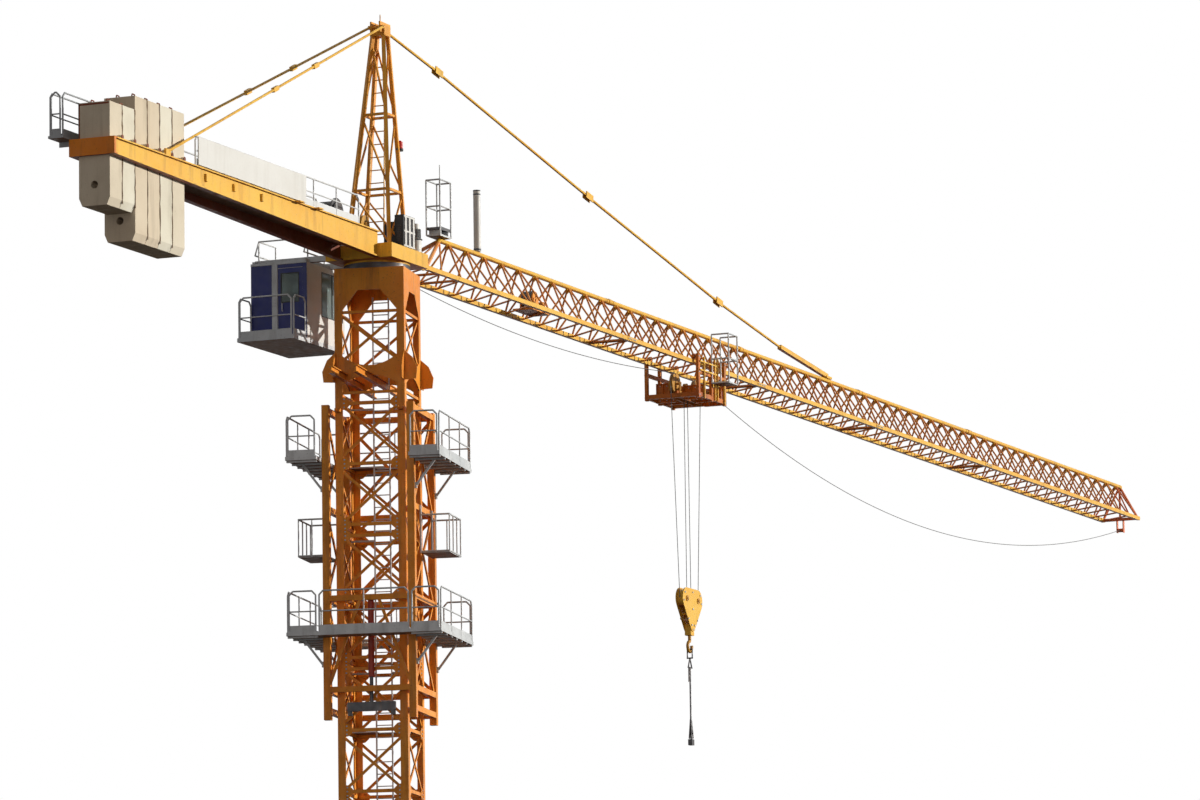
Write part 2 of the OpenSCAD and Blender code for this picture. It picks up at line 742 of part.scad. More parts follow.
module signal_tube() {
  color("white") on_jib() translate([3060, 0, jib_h + gap]) cylinder(h = 800, d = 92, $fn = 40);
}

// Winch of the trolley rope, laid on the floor lacing of the jib
module trolley_winch() {
  z = chord_w / 2 + lacing_d / 2 + gap;
  color(dark_yellow) on_jib() translate([0, 0, z]) {
    block([4480, -140, 0], [5076, 140, 24]);
    translate([4700, 0, 165]) rotate([90, 0, 0]) cylinder(h = 176, d = 200, center = true, $fn = 40);
    for (y = [-100, 86]) block([4620, y, 20], [4780, y + 14, 175]);
    translate([4960, -90, 110]) rotate([-90, 0, 0]) cylinder(h = 180, d = 110, $fn = 32);
    block([4900, -80, 20], [5020, 80, 70]);
  }
}

jib_tie = [[head_lean + eye_x, 0, head_h - 30], [1880, 0, 2722], [6705, 0, 1880], [11276, 0, 1118],
  [13644, 0, 794]];
tie_foot = [15420, 0, jib_h + 36];

// Pin eye with a bore around the axis Y
module eye(p, t) {
  translate(p) rotate([90, 0, 0]) difference() {
    cylinder(h = t, d = 50, center = true, $fn = 32);
    cylinder(h = t + 2, d = eye_pin + 2 * gap, center = true, $fn = 32);
  }
}

// Rod between two joints, which ends short of their middles
module tie_rod(a, b, d) {
  u = (b - a) / norm(b - a);
  tube(a + u * 20, b - u * 20, d);
}

module jib_pendant() {
  color(yellow) on_jib() {
    eye(jib_tie[0], 30);
    for (k = [0 : len(jib_tie) - 2]) tie_rod(jib_tie[k], jib_tie[k + 1], 36);
    for (k = [1 : len(jib_tie) - 2]) for (m = [-1, 1])
      bar(jib_tie[k] + [-110, m * 24, 18], jib_tie[k] + [110, m * 24, -18], 14, 90);
    bar(jib_tie[4] + [-60, 0, 8], tie_foot, 60, 60);
    block([15340, -40, jib_h + gap], [15540, 40, jib_h + 34]);
  }
}

module counter_pendants() {
  x = slab_x0 + slab_t / 2 + 4 * slab_step - 74;
  color(yellow) on_jib() for (m = [-1, 1]) {
    a = [head_lean - eye_x, m * 92, head_h - 30];
    b = [x, m * (hy - 26), beam_top + 52];
    eye(a, 24);
    tube(a + [-20, 0, -8], b, 34, 8);
    for (t = [0.33, 0.52]) {
      p = a + (b - a) * t;
      bar(p + [66, 0, 28], p - [66, 0, 28], 40, 56);
    }
    block([x - 80, m * (hy - 26) - 14, beam_top], [x + 40, m * (hy - 26) + 14, beam_top + 74]);
  }
}

// Places of the web brackets and of the two pads on the near beam
web_marks = [-5300, -4560, -3810];
top_marks = [-2866, -2336];

module counter_beams() {
  color(yellow) on_jib() {
    for (m = [0, 1]) mirror([0, m, 0]) translate([0, hy, 0]) rotate([90, 0, 0]) {
      translate([0, 0, 30]) linear_extrude(18) polygon([[-counter_l, beam_top - beam_rear_h],
        [-table_l / 2, beam_top - beam_root_h], [-table_l / 2, beam_top], [-counter_l, beam_top]]);
      linear_extrude(beam_w) polygon([[-counter_l, beam_top - 16], [-table_l / 2, beam_top - 16],
        [-table_l / 2, beam_top], [-counter_l, beam_top]]);
      linear_extrude(beam_w) polygon([[-counter_l, beam_top - beam_rear_h],
        [-table_l / 2, beam_top - beam_root_h], [-table_l / 2, beam_top - beam_root_h + 16],
        [-counter_l, beam_top - beam_rear_h + 16]]);
    }
    block([-counter_l - 40, -hy, beam_top - beam_rear_h], [-counter_l + 6, hy, beam_top]);
    for (m = [0, 1], x = web_marks) mirror([0, m, 0])
      block([x - 20, hy - 31, beam_top - 150], [x + 20, hy - 4, beam_top - 60]);
    for (x = top_marks) block([x - 60, -hy - 60, beam_top - 16], [x + 60, -hy + 2, beam_top - 2]);
    for (x = [-counter_l + 2000, -4600, -3500, -2400, -1800, -900])
      block([x, -hy + 48, beam_top - 120], [x + 40, hy - 48, beam_top - 30]);
  }
}

// Walkway outside the far beam, past the ballast and beyond the end beam
walk_x0 = -counter_l - 200;
walk_x1 = -counter_l + 1990;
walk_y = hy + 183;
walk_top = beam_top + 30;

module counter_deck() {
  color(galvanised) on_jib() {
    block([-counter_l + 2000, -hy + 50, deck_top - 29], [-table_l / 2 - 60, hy - 50, deck_top]);
    block([walk_x0, hy - 6, beam_top], [walk_x1, walk_y, walk_top]);
    for (x = [-counter_l + 60 : 600 : walk_x1 - 40])
      block([x, hy, beam_top - 60], [x + 14, walk_y - 6, beam_top + 2]);
    railing([[walk_x1 - 12, hy + 12], [walk_x0 + 12, hy + 12], [walk_x0 + 12, walk_y - 12],
      [walk_x1 - 12, walk_y - 12]],
      walk_top, rail_h, rail_d);
  }
}

module counter_railing() {
  color([0.85, 0.86, 0.87]) on_jib() for (m = [-1, 1])
    railing([[-counter_l + 2020, m * (hy - rail_d / 2)], [-1100, m * (hy - rail_d / 2)]], beam_top + 4, 340,
      rail_d);
}

module blank_panel() {
  color("white") on_jib() block([-5560, -hy - 15, beam_top + 8],
    [-5560 + panel_l, -hy - gap, beam_top + 8 + panel_h]);
}

// One ballast block, with a chamfered foot, a round hole and the bar that it hangs on
module slab(x, z0, h) {
  difference() {
    translate([x, -slab_w / 2, 0]) rotate([90, 0, 90]) linear_extrude(slab_t)
      polygon([[40, z0], [slab_w - 40, z0], [slab_w, z0 + 90], [slab_w, z0 + h], [0, z0 + h], [0, z0 + 90]]);
    translate([x - 1, 0, z0 + 240]) rotate([0, 90, 0]) cylinder(h = slab_t + 2, d = slab_hole_d, $fn = 40);
  }
  translate([x + slab_t / 2, -hy + 10, beam_top + 22 + gap]) rotate([-90, 0, 0])
    cylinder(h = 2 * hy - 20, d = 44, $fn = 24);
}

module short_ballast() {
  color(concrete) on_jib() for (k = [0, 1]) slab(slab_x0 + k * slab_step, -480, slab_short);
}

module tall_ballast() {
  color(concrete) on_jib() for (k = [2 : 5]) slab(slab_x0 + k * slab_step, -800, slab_tall);
}

cab_x = -400;
cab_z = -cab_h + 10;

module cab_shell() {
  color("white") on_jib() translate([cab_x, cab_y, cab_z]) difference() {
    block([0, 0, 0], [cab_l, cab_w, cab_h]);
    block([cab_t, cab_t, cab_t + 10], [cab_l - cab_t, cab_w - cab_t, cab_h - cab_t]);
    block([-1, 60, cab_t + 10], [cab_t + 1, 400, cab_h - 60]);
    block([cab_l - cab_t - 1, 60, 180], [cab_l + 1, cab_w - 60, cab_h - 70]);
    for (y = [-1, cab_w - cab_t - 1]) block([430, y, 340], [cab_l - 60, y + cab_t + 2, cab_h - 80]);
  }
}

module cab_door() {
  color([0.08, 0.1, 0.3]) on_jib() translate([cab_x, cab_y, cab_z]) difference() {
    block([2, 60 + gap, cab_t + 10 + gap], [cab_t - 4, 400 - gap, cab_h - 60 - gap]);
    block([1, 120, 480], [cab_t, 350, cab_h - 130]);
  }
}

module cab_windows() {
  color([0.5, 0.6, 0.65]) on_jib() translate([cab_x, cab_y, cab_z]) {
    block([6, 120 + gap, 480 + gap], [12, 350 - gap, cab_h - 130 - gap]);
    block([cab_l - 14, 60 + gap, 180 + gap], [cab_l - 6, cab_w - 60 - gap, cab_h - 70 - gap]);
    for (y = [6, cab_w - 14]) block([430 + gap, y, 340 + gap], [cab_l - 60 - gap, y + 8, cab_h - 80 - gap]);
  }
}

module cab_hanger() {
  color(galvanised) on_jib() {
    for (x = [cab_x + 120, cab_x + 700]) block([x, table_w / 2, 20], [x + 70, cab_y + cab_w, 90]);
    block([cab_x, cab_y + 20, 10], [cab_x + cab_l, cab_y + 60, 60]);
    block([cab_x, cab_y + cab_w - 60, 10], [cab_x + cab_l, cab_y + cab_w - 20, 60]);
  }
}

module cab_balcony() {
  z = cab_z - 20;
  color(galvanised) on_jib() {
    block([cab_x - balcony_l, cab_y, z - 30], [cab_x + cab_l, cab_y + cab_w, z + 20]);
    railing([[cab_x - 12, cab_y + 12], [cab_x - balcony_l + 12, cab_y + 12],
      [cab_x - balcony_l + 12, cab_y + cab_w - 12], [cab_x - 12, cab_y + cab_w - 12]], z + 19, rail_h,
        rail_d);
  }
}

sheave_x = 380;
sheave_z = -100 - sheave_d / 2;
cross_top = sheave_z - sheave_d / 2 + 7;
post_x = trolley_l / 2 - 30;
wheel_d = 80;

// Frame of the trolley: six posts, wheels on the bottom chords, side beams and cross beams
module trolley_frame() {
  y1 = trolley_w / 2;
  color(dark_yellow) on_jib() translate([trolley_x, 0, 0]) {
    for (m = [0, 1]) mirror([0, m, 0]) {
      for (x = [-post_x, 0, post_x]) block([x - 30, y1 - 40, cross_top - 80], [x + 30, y1, 130]);
      block([-post_x, y1 - 38, cross_top - 60], [post_x, y1 - 2, cross_top]);
      block([-post_x, y1 - 38, -140], [post_x, y1 - 2, -90]);
      for (x = [-post_x, post_x]) translate([x, 0, chord_w + gap + wheel_d / 2]) rotate([-90, 0, 0]) {
        translate([0, 0, jib_w / 2 - 22]) cylinder(h = 36, d = wheel_d, $fn = 32);
        translate([0, 0, jib_w / 2]) cylinder(h = y1 - 30 - jib_w / 2, d = 30, $fn = 24);
      }
    }
    for (x = [-post_x, post_x]) block([x - 30, -y1 + 10, cross_top - 60], [x + 30, y1 - 10, cross_top]);
    for (y = [-70, 50]) {
      block([-post_x, y, cross_top - 50], [post_x, y + 20, cross_top + 40]);
      block([-post_x + 190, y, cross_top], [post_x, y + 20, sheave_z - 20]);
    }
  }
}

module trolley_sheaves() {
  color(steel) on_jib() translate([trolley_x, 0, sheave_z]) {
    for (x = [-sheave_x, sheave_x]) translate([x, 0, 0]) rotate([90, 0, 0])
      cylinder(h = 48, d = sheave_d, center = true, $fn = 48);
    rotate([90, 0, 0]) cylinder(h = 48, d = 110, center = true, $fn = 48);
    for (x = [-sheave_x, 0, sheave_x]) translate([x, 0, 0]) {
      block([-16, -80, -16], [16, 80, 16]);
      for (m = [0, 1]) mirror([0, m, 0]) block([-30, 70, cross_top - sheave_z - 30], [30, 84, 26]);
    }
  }
}

module trolley_basket() {
  color(galvanised) on_jib() translate([trolley_x - 50, 0, 0]) {
    y0 = -trolley_w / 2;
    y1 = y0 - 260;
    block([0, y1, -230], [330, y0 - 6, -210]);
    for (z = [110, 450]) {
      tube([11, y0 - 11, z], [11, y1, z], rail_d);
      tube([11, y1, z], [330, y1, z], rail_d);
      tube([330, y1, z], [330, y0 - 11, z], rail_d);
    }
    for (x = [11, 330], y = [y0 - 11 - gap, y1]) tube([x, y, -220], [x, y, 450], rail_d);
    for (z = [-216, 90]) block([0, y0 - 14, z], [60, y0, z + 34]);
  }
}

block_top = -block_drop;
cheek_r = 150;
cheek_t = 14;
block_sheave_x = block_w / 2 - cheek_r;
block_sheave_d = 240;

// Cheek outline of the hook block: two sheave housings that run down to the hook shank
module cheek_outline() {
  hull() {
    for (m = [-1, 1]) translate([m * block_sheave_x, -cheek_r]) circle(r = cheek_r, $fn = 48);
    translate([0, -block_h + 90]) circle(r = 80, $fn = 32);
  }
}

shank_d = 46;
nut_z = -block_h + 110;

module hook_block() {
  inner = block_t / 2 - cheek_t;
  color(yellow) on_jib() translate([trolley_x, 0, block_top]) {
    for (y = [inner + cheek_t, -inner]) translate([0, y, 0]) rotate([90, 0, 0]) linear_extrude(cheek_t)
      cheek_outline();
    for (m = [-1, 1]) translate([m * block_sheave_x, 0, -cheek_r]) rotate([90, 0, 0])
      cylinder(h = 2 * inner + 2, d = block_sheave_d, center = true, $fn = 48);
    for (m = [-1, 1]) translate([m * 150, 0, -360]) rotate([90, 0, 0])
      cylinder(h = 2 * inner + 2, d = 30, center = true, $fn = 24);
    difference() {
      block([-60, -inner - 4, -block_h - 40], [60, inner + 4, nut_z]);
      translate([0, 0, -block_h - 41]) cylinder(h = 200, d = shank_d + 2 * gap, $fn = 40);
    }
  }
}

hook_z = block_top - block_h - 40;
bowl_r = 70;
bowl_d = 44;
bowl_z = -150;

// Hook with its shank and nut, free to turn in the hook block
module hook() {
  color(steel) on_jib() translate([trolley_x, 0, hook_z]) {
    translate([0, 0, bowl_z + bowl_r]) cylinder(h = nut_z + block_h + 40 + 40 - bowl_z - bowl_r,
      d = shank_d, $fn = 40);
    translate([0, 0, nut_z + block_h + 40 + gap]) cylinder(h = 38, d = 66, $fn = 6);
    translate([0, 0, bowl_z]) rotate([90, 0, 0]) rotate([0, 0, 90]) rotate_extrude(angle = 285, $fn = 48)
      translate([bowl_r, 0]) circle(d = bowl_d, $fn = 16);
  }
}

// Sling: a link over the bowl of the hook, a triangular eye and the hanging strands
module sling() {
  link_d = 20;
  zl = bowl_z - bowl_r + bowl_d / 2 + link_d / 2 + gap;
  y = bowl_d / 2 + link_d / 2 + 4;
  zt = zl - 120;
  color(steel) on_jib() translate([trolley_x, 0, hook_z]) {
    for (z = [zl, zt]) tube([0, -y - 8, z], [0, y + 8, z], link_d);
    for (m = [-1, 1]) tube([0, m * y, zl + 8], [0, m * y, zt - 8], link_d);
    for (m = [-1, 1]) tube([m * 62, 0, zt - 130], [0, 0, zt], link_d);
    tube([-70, 0, zt - 130], [70, 0, zt - 130], link_d);
    tube([0, 0, zt - 130], [0, 0, -sling_l], 26);
    tube([-50, 0, zt - 130], [-50, 0, zt - 330], 16);
    block([-40, -30, -sling_l - 70], [40, 30, -sling_l + 10]);
  }
}

// The four falls of the hoist rope between the trolley and the hook block
module hoist_falls() {
  off = rope_d / 2 + 0.7;
  z1 = block_top - cheek_r;
  color(steel) on_jib() translate([trolley_x, 0, 0]) for (m = [-1, 1]) {
    tube([m * (sheave_x + sheave_d / 2 + off), 0, sheave_z],
      [m * (block_sheave_x + block_sheave_d / 2 + off), 0, z1], rope_d);
    tube([m * (55 + off), 0, sheave_z], [m * (block_sheave_x - block_sheave_d / 2 - off), 0, z1], rope_d);
  }
}

// Rope that sags as a parabola between two points, as one swept tube with rings across X
function sag_at(a, b, sag, t) = [a[0] + (b[0] - a[0]) * t, a[1] + (b[1] - a[1]) * t - 4 * sag * t * (1 - t)];

module sag_rope(a, b, sag, n) {
  k = 8;
  pts = [for (i = [0 : n]) let (p = sag_at(a, b, sag, i / n))
    for (j = [0 : k - 1]) [p[0], rope_d / 2 * cos(360 * j / k), p[1] + rope_d / 2 * sin(360 * j / k)]];
  walls = [for (i = [0 : n - 1], j = [0 : k - 1])
    [i * k + j, i * k + (j + 1) % k, (i + 1) * k + (j + 1) % k, (i + 1) * k + j]];
  color(steel) on_jib() polyhedron(points = pts,
    faces = concat(walls, [[for (j = [k - 1 : -1 : 0]) j], [for (j = [0 : k - 1]) n * k + j]]));
}

inner_sag = 200;
outer_sag = 1010;
rope_over = sheave_d / 2 + rope_d / 2 + 1;

// Rope between the bracket at the jib foot and the trolley
module inner_rope() {
  sag_rope([jib_foot + 110 + gap, -120], [trolley_x - sheave_x - rope_over * sin(5.2),
    sheave_z + rope_over * cos(5.2)],
    inner_sag, 14);
}

// Rope between the trolley and the anchor under the jib tip
module outer_rope() {
  sag_rope([trolley_x + sheave_x + rope_over * sin(12.6), sheave_z + rope_over * cos(12.6)],
    [jib_l - 60 - gap, -150],
    outer_sag, 26);
}

base_feet();
mast_legs();
mast_side(0);  // mast_front
mast_side(1);  // mast_right
mast_side(2);  // mast_rear
mast_side(3);  // mast_left
mast_ladder();
ring_support();
slewing_ring();
cage_front();
cage_flank(1);  // cage_right
cage_rear();
cage_flank(3);  // cage_left
cage_upper_platform();
cage_lower_platform();
cage_baskets();
jack_cylinder();
jack_yoke();
turntable();
slew_motors();
lead_sheave();
hoist_winch();
switch_cabinet();
cab_shell();
cab_door();
cab_windows();
cab_hanger();
cab_balcony();
tower_head();
jib_section_1();
jib_middle(split_1, bays_mid);  // jib_section_2
jib_middle(split_2, bays_mid);  // jib_section_3
jib_middle(split_3, bays_mid);  // jib_section_4
jib_section_5();
jib_access_cage();
signal_tube();
trolley_winch();
jib_pendant();
counter_pendants();
counter_beams();
counter_deck();
counter_railing();
blank_panel();
short_ballast();
tall_ballast();
trolley_frame();
trolley_sheaves();
trolley_basket();
hook_block();
hook();
sling();
hoist_falls();
inner_rope();
outer_rope();
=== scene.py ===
import bpy
import bmesh
import math
import random
from mathutils import Matrix, Vector


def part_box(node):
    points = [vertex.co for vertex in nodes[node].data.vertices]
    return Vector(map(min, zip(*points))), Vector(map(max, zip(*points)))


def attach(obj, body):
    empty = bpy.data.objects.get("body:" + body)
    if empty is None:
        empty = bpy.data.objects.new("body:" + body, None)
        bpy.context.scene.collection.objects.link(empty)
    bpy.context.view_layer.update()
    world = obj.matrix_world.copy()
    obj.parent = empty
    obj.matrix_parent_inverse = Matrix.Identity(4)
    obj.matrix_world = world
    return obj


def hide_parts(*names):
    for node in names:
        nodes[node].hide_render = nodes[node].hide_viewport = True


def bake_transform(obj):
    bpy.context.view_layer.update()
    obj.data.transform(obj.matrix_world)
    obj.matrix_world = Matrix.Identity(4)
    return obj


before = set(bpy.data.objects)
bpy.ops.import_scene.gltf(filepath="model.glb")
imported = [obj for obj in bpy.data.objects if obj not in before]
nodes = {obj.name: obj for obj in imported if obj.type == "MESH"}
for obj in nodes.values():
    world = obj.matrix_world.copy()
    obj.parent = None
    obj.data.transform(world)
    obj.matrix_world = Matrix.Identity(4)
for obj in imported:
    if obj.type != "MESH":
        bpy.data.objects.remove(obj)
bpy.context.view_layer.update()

# heights and places repeated from the part's source, in metres
mastTurn = math.radians(11.2)
mast = {"half": 0.440, "foot": 0.298, "section": 1.640, "count": 8, "leg": 0.096}
mastTop = mast["foot"] + mast["section"] * mast["count"]
jibZ = 15.160
tableTop = 15.299
cage = {"half": 0.580, "top": mastTop - 0.100}
trolleyX = 10.030
blockTop = jibZ - 3.030

# camera at the photograph's viewing angle
view = {"place": (-75.455, -34.907, 1.179), "yaw": 0.4004, "pitch": 0.1460, "roll": -0.0143,
        "lens": 204.24, "sensor": 36.0, "farEnd": 500.0}


def addObject(name, data):
    item = bpy.data.objects.new(name, data)
    bpy.context.collection.objects.link(item)
    return item


def placeCamera(v):
    level = math.cos(v["pitch"])
    ahead = Vector((math.cos(v["yaw"]) * level, math.sin(v["yaw"]) * level, math.sin(v["pitch"])))
    right = Vector((math.sin(v["yaw"]), -math.cos(v["yaw"]), 0.0))
    up = right.cross(ahead)
    c, s = math.cos(v["roll"]), math.sin(v["roll"])
    turn = Matrix((right * c + up * s, up * c - right * s, -ahead)).transposed()
    data = bpy.data.cameras.new("camera")
    data.lens = v["lens"]
    data.sensor_width = v["sensor"]
    data.clip_end = v["farEnd"]
    camera = addObject("camera", data)
    camera.matrix_world = Matrix.Translation(Vector(v["place"])) @ turn.to_4x4()
    bpy.context.scene.camera = camera


placeCamera(view)
print("camera placed")

made = {}  # every material by its name


def newMaterial(name):
    made[name] = bpy.data.materials.new(name)
    made[name].use_nodes = True
    tree = made[name].node_tree
    return tree, next(n for n in tree.nodes if n.type == "BSDF_PRINCIPLED")


# sets a node's sockets, by name or number, to plain values or to what feeds them
def feed(tree, node, values):
    for socket, value in values.items():
        if isinstance(value, (int, float, tuple)):
            node.inputs[socket].default_value = value
        else:
            tree.links.new(value, node.inputs[socket])


def addNode(tree, kind, values):
    node = tree.nodes.new(kind)
    feed(tree, node, values)
    return node


def noise(tree, scale, detail, stretch=(1, 1, 1), rough=0.6):
    coord = tree.nodes.new("ShaderNodeTexCoord").outputs["Object"]
    mapping = addNode(tree, "ShaderNodeMapping", {"Vector": coord, "Scale": stretch})
    values = {"Vector": mapping.outputs["Vector"], "Scale": scale, "Detail": detail, "Roughness": rough}
    return addNode(tree, "ShaderNodeTexNoise", values).outputs["Fac"]


def ramp(tree, source, stops):
    node = tree.nodes.new("ShaderNodeValToRGB")
    items = node.color_ramp.elements
    for item, (place, colour) in ((items[0], stops[0]), (items[1], stops[-1])):
        item.position, item.color = place, (*colour, 1)
    for place, colour in stops[1:-1]:
        items.new(place).color = (*colour, 1)
    tree.links.new(source, node.inputs["Fac"])
    return node.outputs["Color"]


# a noise pattern that runs from one colour to another over a span of its values
def spread(tree, pattern, span, low, high):
    return ramp(tree, noise(tree, *pattern), [(span[0], low), (span[1], high)])


def mixColour(tree, amount, a, b, mode="MIX"):
    node = tree.nodes.new("ShaderNodeMix")
    node.data_type, node.blend_type = "RGBA", mode
    a, b = ((*v, 1) if isinstance(v, tuple) else v for v in (a, b))
    feed(tree, node, {0: amount, 6: a, 7: b})
    return node.outputs[2]


def grey(v):
    return (v, v, v)


def addBump(tree, shader, source, strength, distance):
    bump = addNode(tree, "ShaderNodeBump", {"Strength": strength, "Distance": distance, "Height": source})
    feed(tree, shader, {"Normal": bump.outputs["Normal"]})


def maths(tree, operation, *values):
    node = addNode(tree, "ShaderNodeMath", dict(enumerate(values)))
    node.operation = operation
    return node.outputs[0]


def split(tree, vector):
    return addNode(tree, "ShaderNodeSeparateXYZ", {0: vector}).outputs


def places(tree):
    return split(tree, tree.nodes.new("ShaderNodeTexCoord").outputs["Object"])


# where a finish or a painted shade changes: reach to each side, height above the underside of the jib, and
# place along it
zone = {"laceWalls": (0.058, 0.526), "laceFloor": 0.050, "laceReach": 0.268, "tip": 27.95,
        "deckReach": 0.283, "beamReach": 0.256, "beamHigh": 0.285, "endBeam": -7.60, "under": (0.45, 0.85)}


def nearMiddle(tree, reach):
    return maths(tree, "LESS_THAN", maths(tree, "ABSOLUTE", places(tree)[1]), reach)


def below(tree, height):
    return maths(tree, "LESS_THAN", places(tree)[2], jibZ + height)


# leaning walls and floor of the jib, which are laced
def lacingMask(tree):
    low, high = zone["laceWalls"]
    overFoot = maths(tree, "GREATER_THAN", places(tree)[2], jibZ + low)
    walls = maths(tree, "MULTIPLY", overFoot, below(tree, high))
    floor = maths(tree, "MULTIPLY", nearMiddle(tree, zone["laceReach"]), below(tree, zone["laceFloor"]))
    return maths(tree, "MAXIMUM", walls, floor)


def tipMask(tree):
    pastTip = maths(tree, "GREATER_THAN", places(tree)[0], zone["tip"])
    return maths(tree, "MULTIPLY", lacingMask(tree), pastTip)


# middle of the counter deck between the beams, where painted shade darkens it
def shadedMiddleMask(tree):
    return nearMiddle(tree, zone["deckReach"])


# inner and lower faces of the counter-jib beams, darkened as painted shade between the beams
def shadedInnerMask(tree):
    return maths(tree, "MULTIPLY", nearMiddle(tree, zone["beamReach"]), below(tree, zone["beamHigh"]))


def endMask(tree):
    return maths(tree, "LESS_THAN", places(tree)[0], zone["endBeam"])


# faces that look down, darkened there as painted shade
def shadedUndersideMask(tree):
    down = split(tree, tree.nodes.new("ShaderNodeNewGeometry").outputs["Normal"])[2]
    low, high = zone["under"]
    return ramp(tree, maths(tree, "MULTIPLY", down, -1.0), [(low, grey(0)), (high, grey(1))])


# patterns are scale, detail, stretch and roughness, and spans are where each pattern starts and is full
wear = {"broad": (0.9, 4), "layer": (1.3, 4), "tones": (0.30, 0.65),
        "streaks": (7.0, 5, (1, 1, 0.12)), "streakSpan": (0.52, 0.75),
        "specks": (42.0, 6), "speckSpan": (0.60, 0.70),
        "rust": (5.5, 8, (1, 1, 1), 0.75), "rustSpan": (0.64, 0.72), "rustTone": (0.105, 0.036, 0.014),
        "gloss": (12.0, 5), "glossSpan": (0.3, 0.7), "smoother": 0.10, "rougher": 0.18, "shine": 0.3,
        "grain": (160.0, 4), "grainBump": (0.12, 0.0015)}


def wornPaint(name, base, shade, dirt, dirtAmount, rough=0.45, metallic=0.0, rust=0.0, layers=()):
    tree, shader = newMaterial(name)
    colour = spread(tree, wear["broad"], wear["tones"], shade, base)
    for mask, light, dark in layers:
        colour = mixColour(tree, mask(tree), colour, spread(tree, wear["layer"], wear["tones"], dark, light))
    for pattern, span, amount, tone in (("streaks", "streakSpan", dirtAmount, dirt),
                                        ("specks", "speckSpan", dirtAmount, dirt),
                                        ("rust", "rustSpan", rust, wear["rustTone"])):
        if amount > 0:
            mask = spread(tree, wear[pattern], wear[span], grey(0), grey(amount))
            colour = mixColour(tree, mask, colour, tone)
    smooth, dull = grey(rough - wear["smoother"]), grey(rough + wear["rougher"])
    gloss = spread(tree, wear["gloss"], wear["glossSpan"], smooth, dull)
    feed(tree, shader, {"Base Color": colour, "Roughness": gloss, "Metallic": metallic,
                        "Specular IOR Level": wear["shine"]})
    addBump(tree, shader, noise(tree, *wear["grain"]), *wear["grainBump"])


# concrete of the ballast, where each slab has its own tint and the undersides get painted shade
cast = {"tones": [(0.25, (0.66, 0.61, 0.50)), (0.5, (0.76, 0.72, 0.60)), (0.8, (0.82, 0.79, 0.68))],
        "tints": [(0.3, (1.0, 1.0, 1.0)), (0.75, (0.92, 0.83, 0.76))], "firstSlab": -7.618, "slabStep": 0.316,
        "cloud": (1.6, 6), "under": (0.30, 0.22, 0.14),
        "stains": (4.0, 6, (1, 1, 0.1)), "stainSpan": (0.56, 0.78), "stainAmount": 0.45,
        "stain": (0.20, 0.165, 0.11),
        "pores": (60.0, 3), "poreSpan": (0.66, 0.74), "poreAmount": 0.5, "pore": (0.22, 0.19, 0.14),
        "rough": 0.9, "grain": (38.0, 8), "grainBump": (0.35, 0.006)}


def concreteMaterial(name, c):
    tree, shader = newMaterial(name)
    along = maths(tree, "SUBTRACT", places(tree)[0], c["firstSlab"])
    slabNumber = maths(tree, "FLOOR", maths(tree, "DIVIDE", along, c["slabStep"]))
    draw = tree.nodes.new("ShaderNodeTexWhiteNoise")
    draw.noise_dimensions = "1D"
    feed(tree, draw, {"W": slabNumber})
    tint = ramp(tree, draw.outputs["Value"], c["tints"])
    colour = mixColour(tree, 1.0, ramp(tree, noise(tree, *c["cloud"]), c["tones"]), tint, "MULTIPLY")
    # painted shade on the faces of the slabs that look down
    colour = mixColour(tree, shadedUndersideMask(tree), colour, c["under"])
    stain = spread(tree, c["stains"], c["stainSpan"], grey(0), grey(c["stainAmount"]))
    colour = mixColour(tree, stain, colour, c["stain"])
    pores = spread(tree, c["pores"], c["poreSpan"], grey(0), grey(c["poreAmount"]))
    colour = mixColour(tree, pores, colour, c["pore"])
    feed(tree, shader, {"Base Color": colour, "Roughness": c["rough"]})
    addBump(tree, shader, noise(tree, *c["grain"]), *c["grainBump"])


strand = {"waves": 34.0, "dark": 0.035, "light": 0.12, "span": (0.2, 0.8), "rough": 0.5, "metallic": 0.6,
          "bump": (0.6, 0.002)}


def ropeMaterial(name, s):
    tree, shader = newMaterial(name)
    coord = tree.nodes.new("ShaderNodeTexCoord").outputs["Object"]
    wave = addNode(tree, "ShaderNodeTexWave", {"Vector": coord, "Scale": s["waves"]})
    wave.bands_direction = "DIAGONAL"
    low, high = s["span"]
    colour = ramp(tree, wave.outputs["Fac"], [(low, grey(s["dark"])), (high, grey(s["light"]))])
    feed(tree, shader, {"Base Color": colour, "Roughness": s["rough"], "Metallic": s["metallic"]})
    addBump(tree, shader, wave.outputs["Fac"], *s["bump"])


glass = {"dust": (3.0, 6), "span": (0.4, 0.75), "clean": (0.30, 0.37, 0.37), "dusty": (0.46, 0.53, 0.50),
         "rough": 0.08, "through": 0.6, "bend": 1.2}


def glassMaterial(name, g):
    tree, shader = newMaterial(name)
    dust = spread(tree, g["dust"], g["span"], g["clean"], g["dusty"])
    feed(tree, shader, {"Base Color": dust, "Roughness": g["rough"], "Transmission Weight": g["through"],
                        "IOR": g["bend"]})


# layers over a paint: where they lie, and their light and dark tone
# painted shade on faces that look down, in a dark tone for each paint
shadedUnderYellow = shadedUndersideMask, (0.42, 0.115, 0.018), (0.28, 0.065, 0.010)
shadedUnderOrange = shadedUndersideMask, (0.40, 0.10, 0.016), (0.24, 0.05, 0.010)
shadedUnderMetal = shadedUndersideMask, (0.20, 0.105, 0.060), (0.10, 0.050, 0.030)
beamShadedUnder = shadedUndersideMask, (0.24, 0.040, 0.012), (0.12, 0.020, 0.008)
# painted shade inside and between the counter-jib beams
beamShadedInside = shadedInnerMask, (0.26, 0.050, 0.014), (0.13, 0.022, 0.008)
beamEnd = endMask, (0.82, 0.26, 0.018), (0.66, 0.18, 0.014)
lacing = lacingMask, (0.86, 0.37, 0.085), (0.72, 0.23, 0.055)
jibTip = tipMask, (0.86, 0.25, 0.095), (0.72, 0.17, 0.06)
# painted shade on the counter deck between the beams
deckShadedMiddle = shadedMiddleMask, (0.26, 0.060, 0.016), (0.14, 0.028, 0.010)

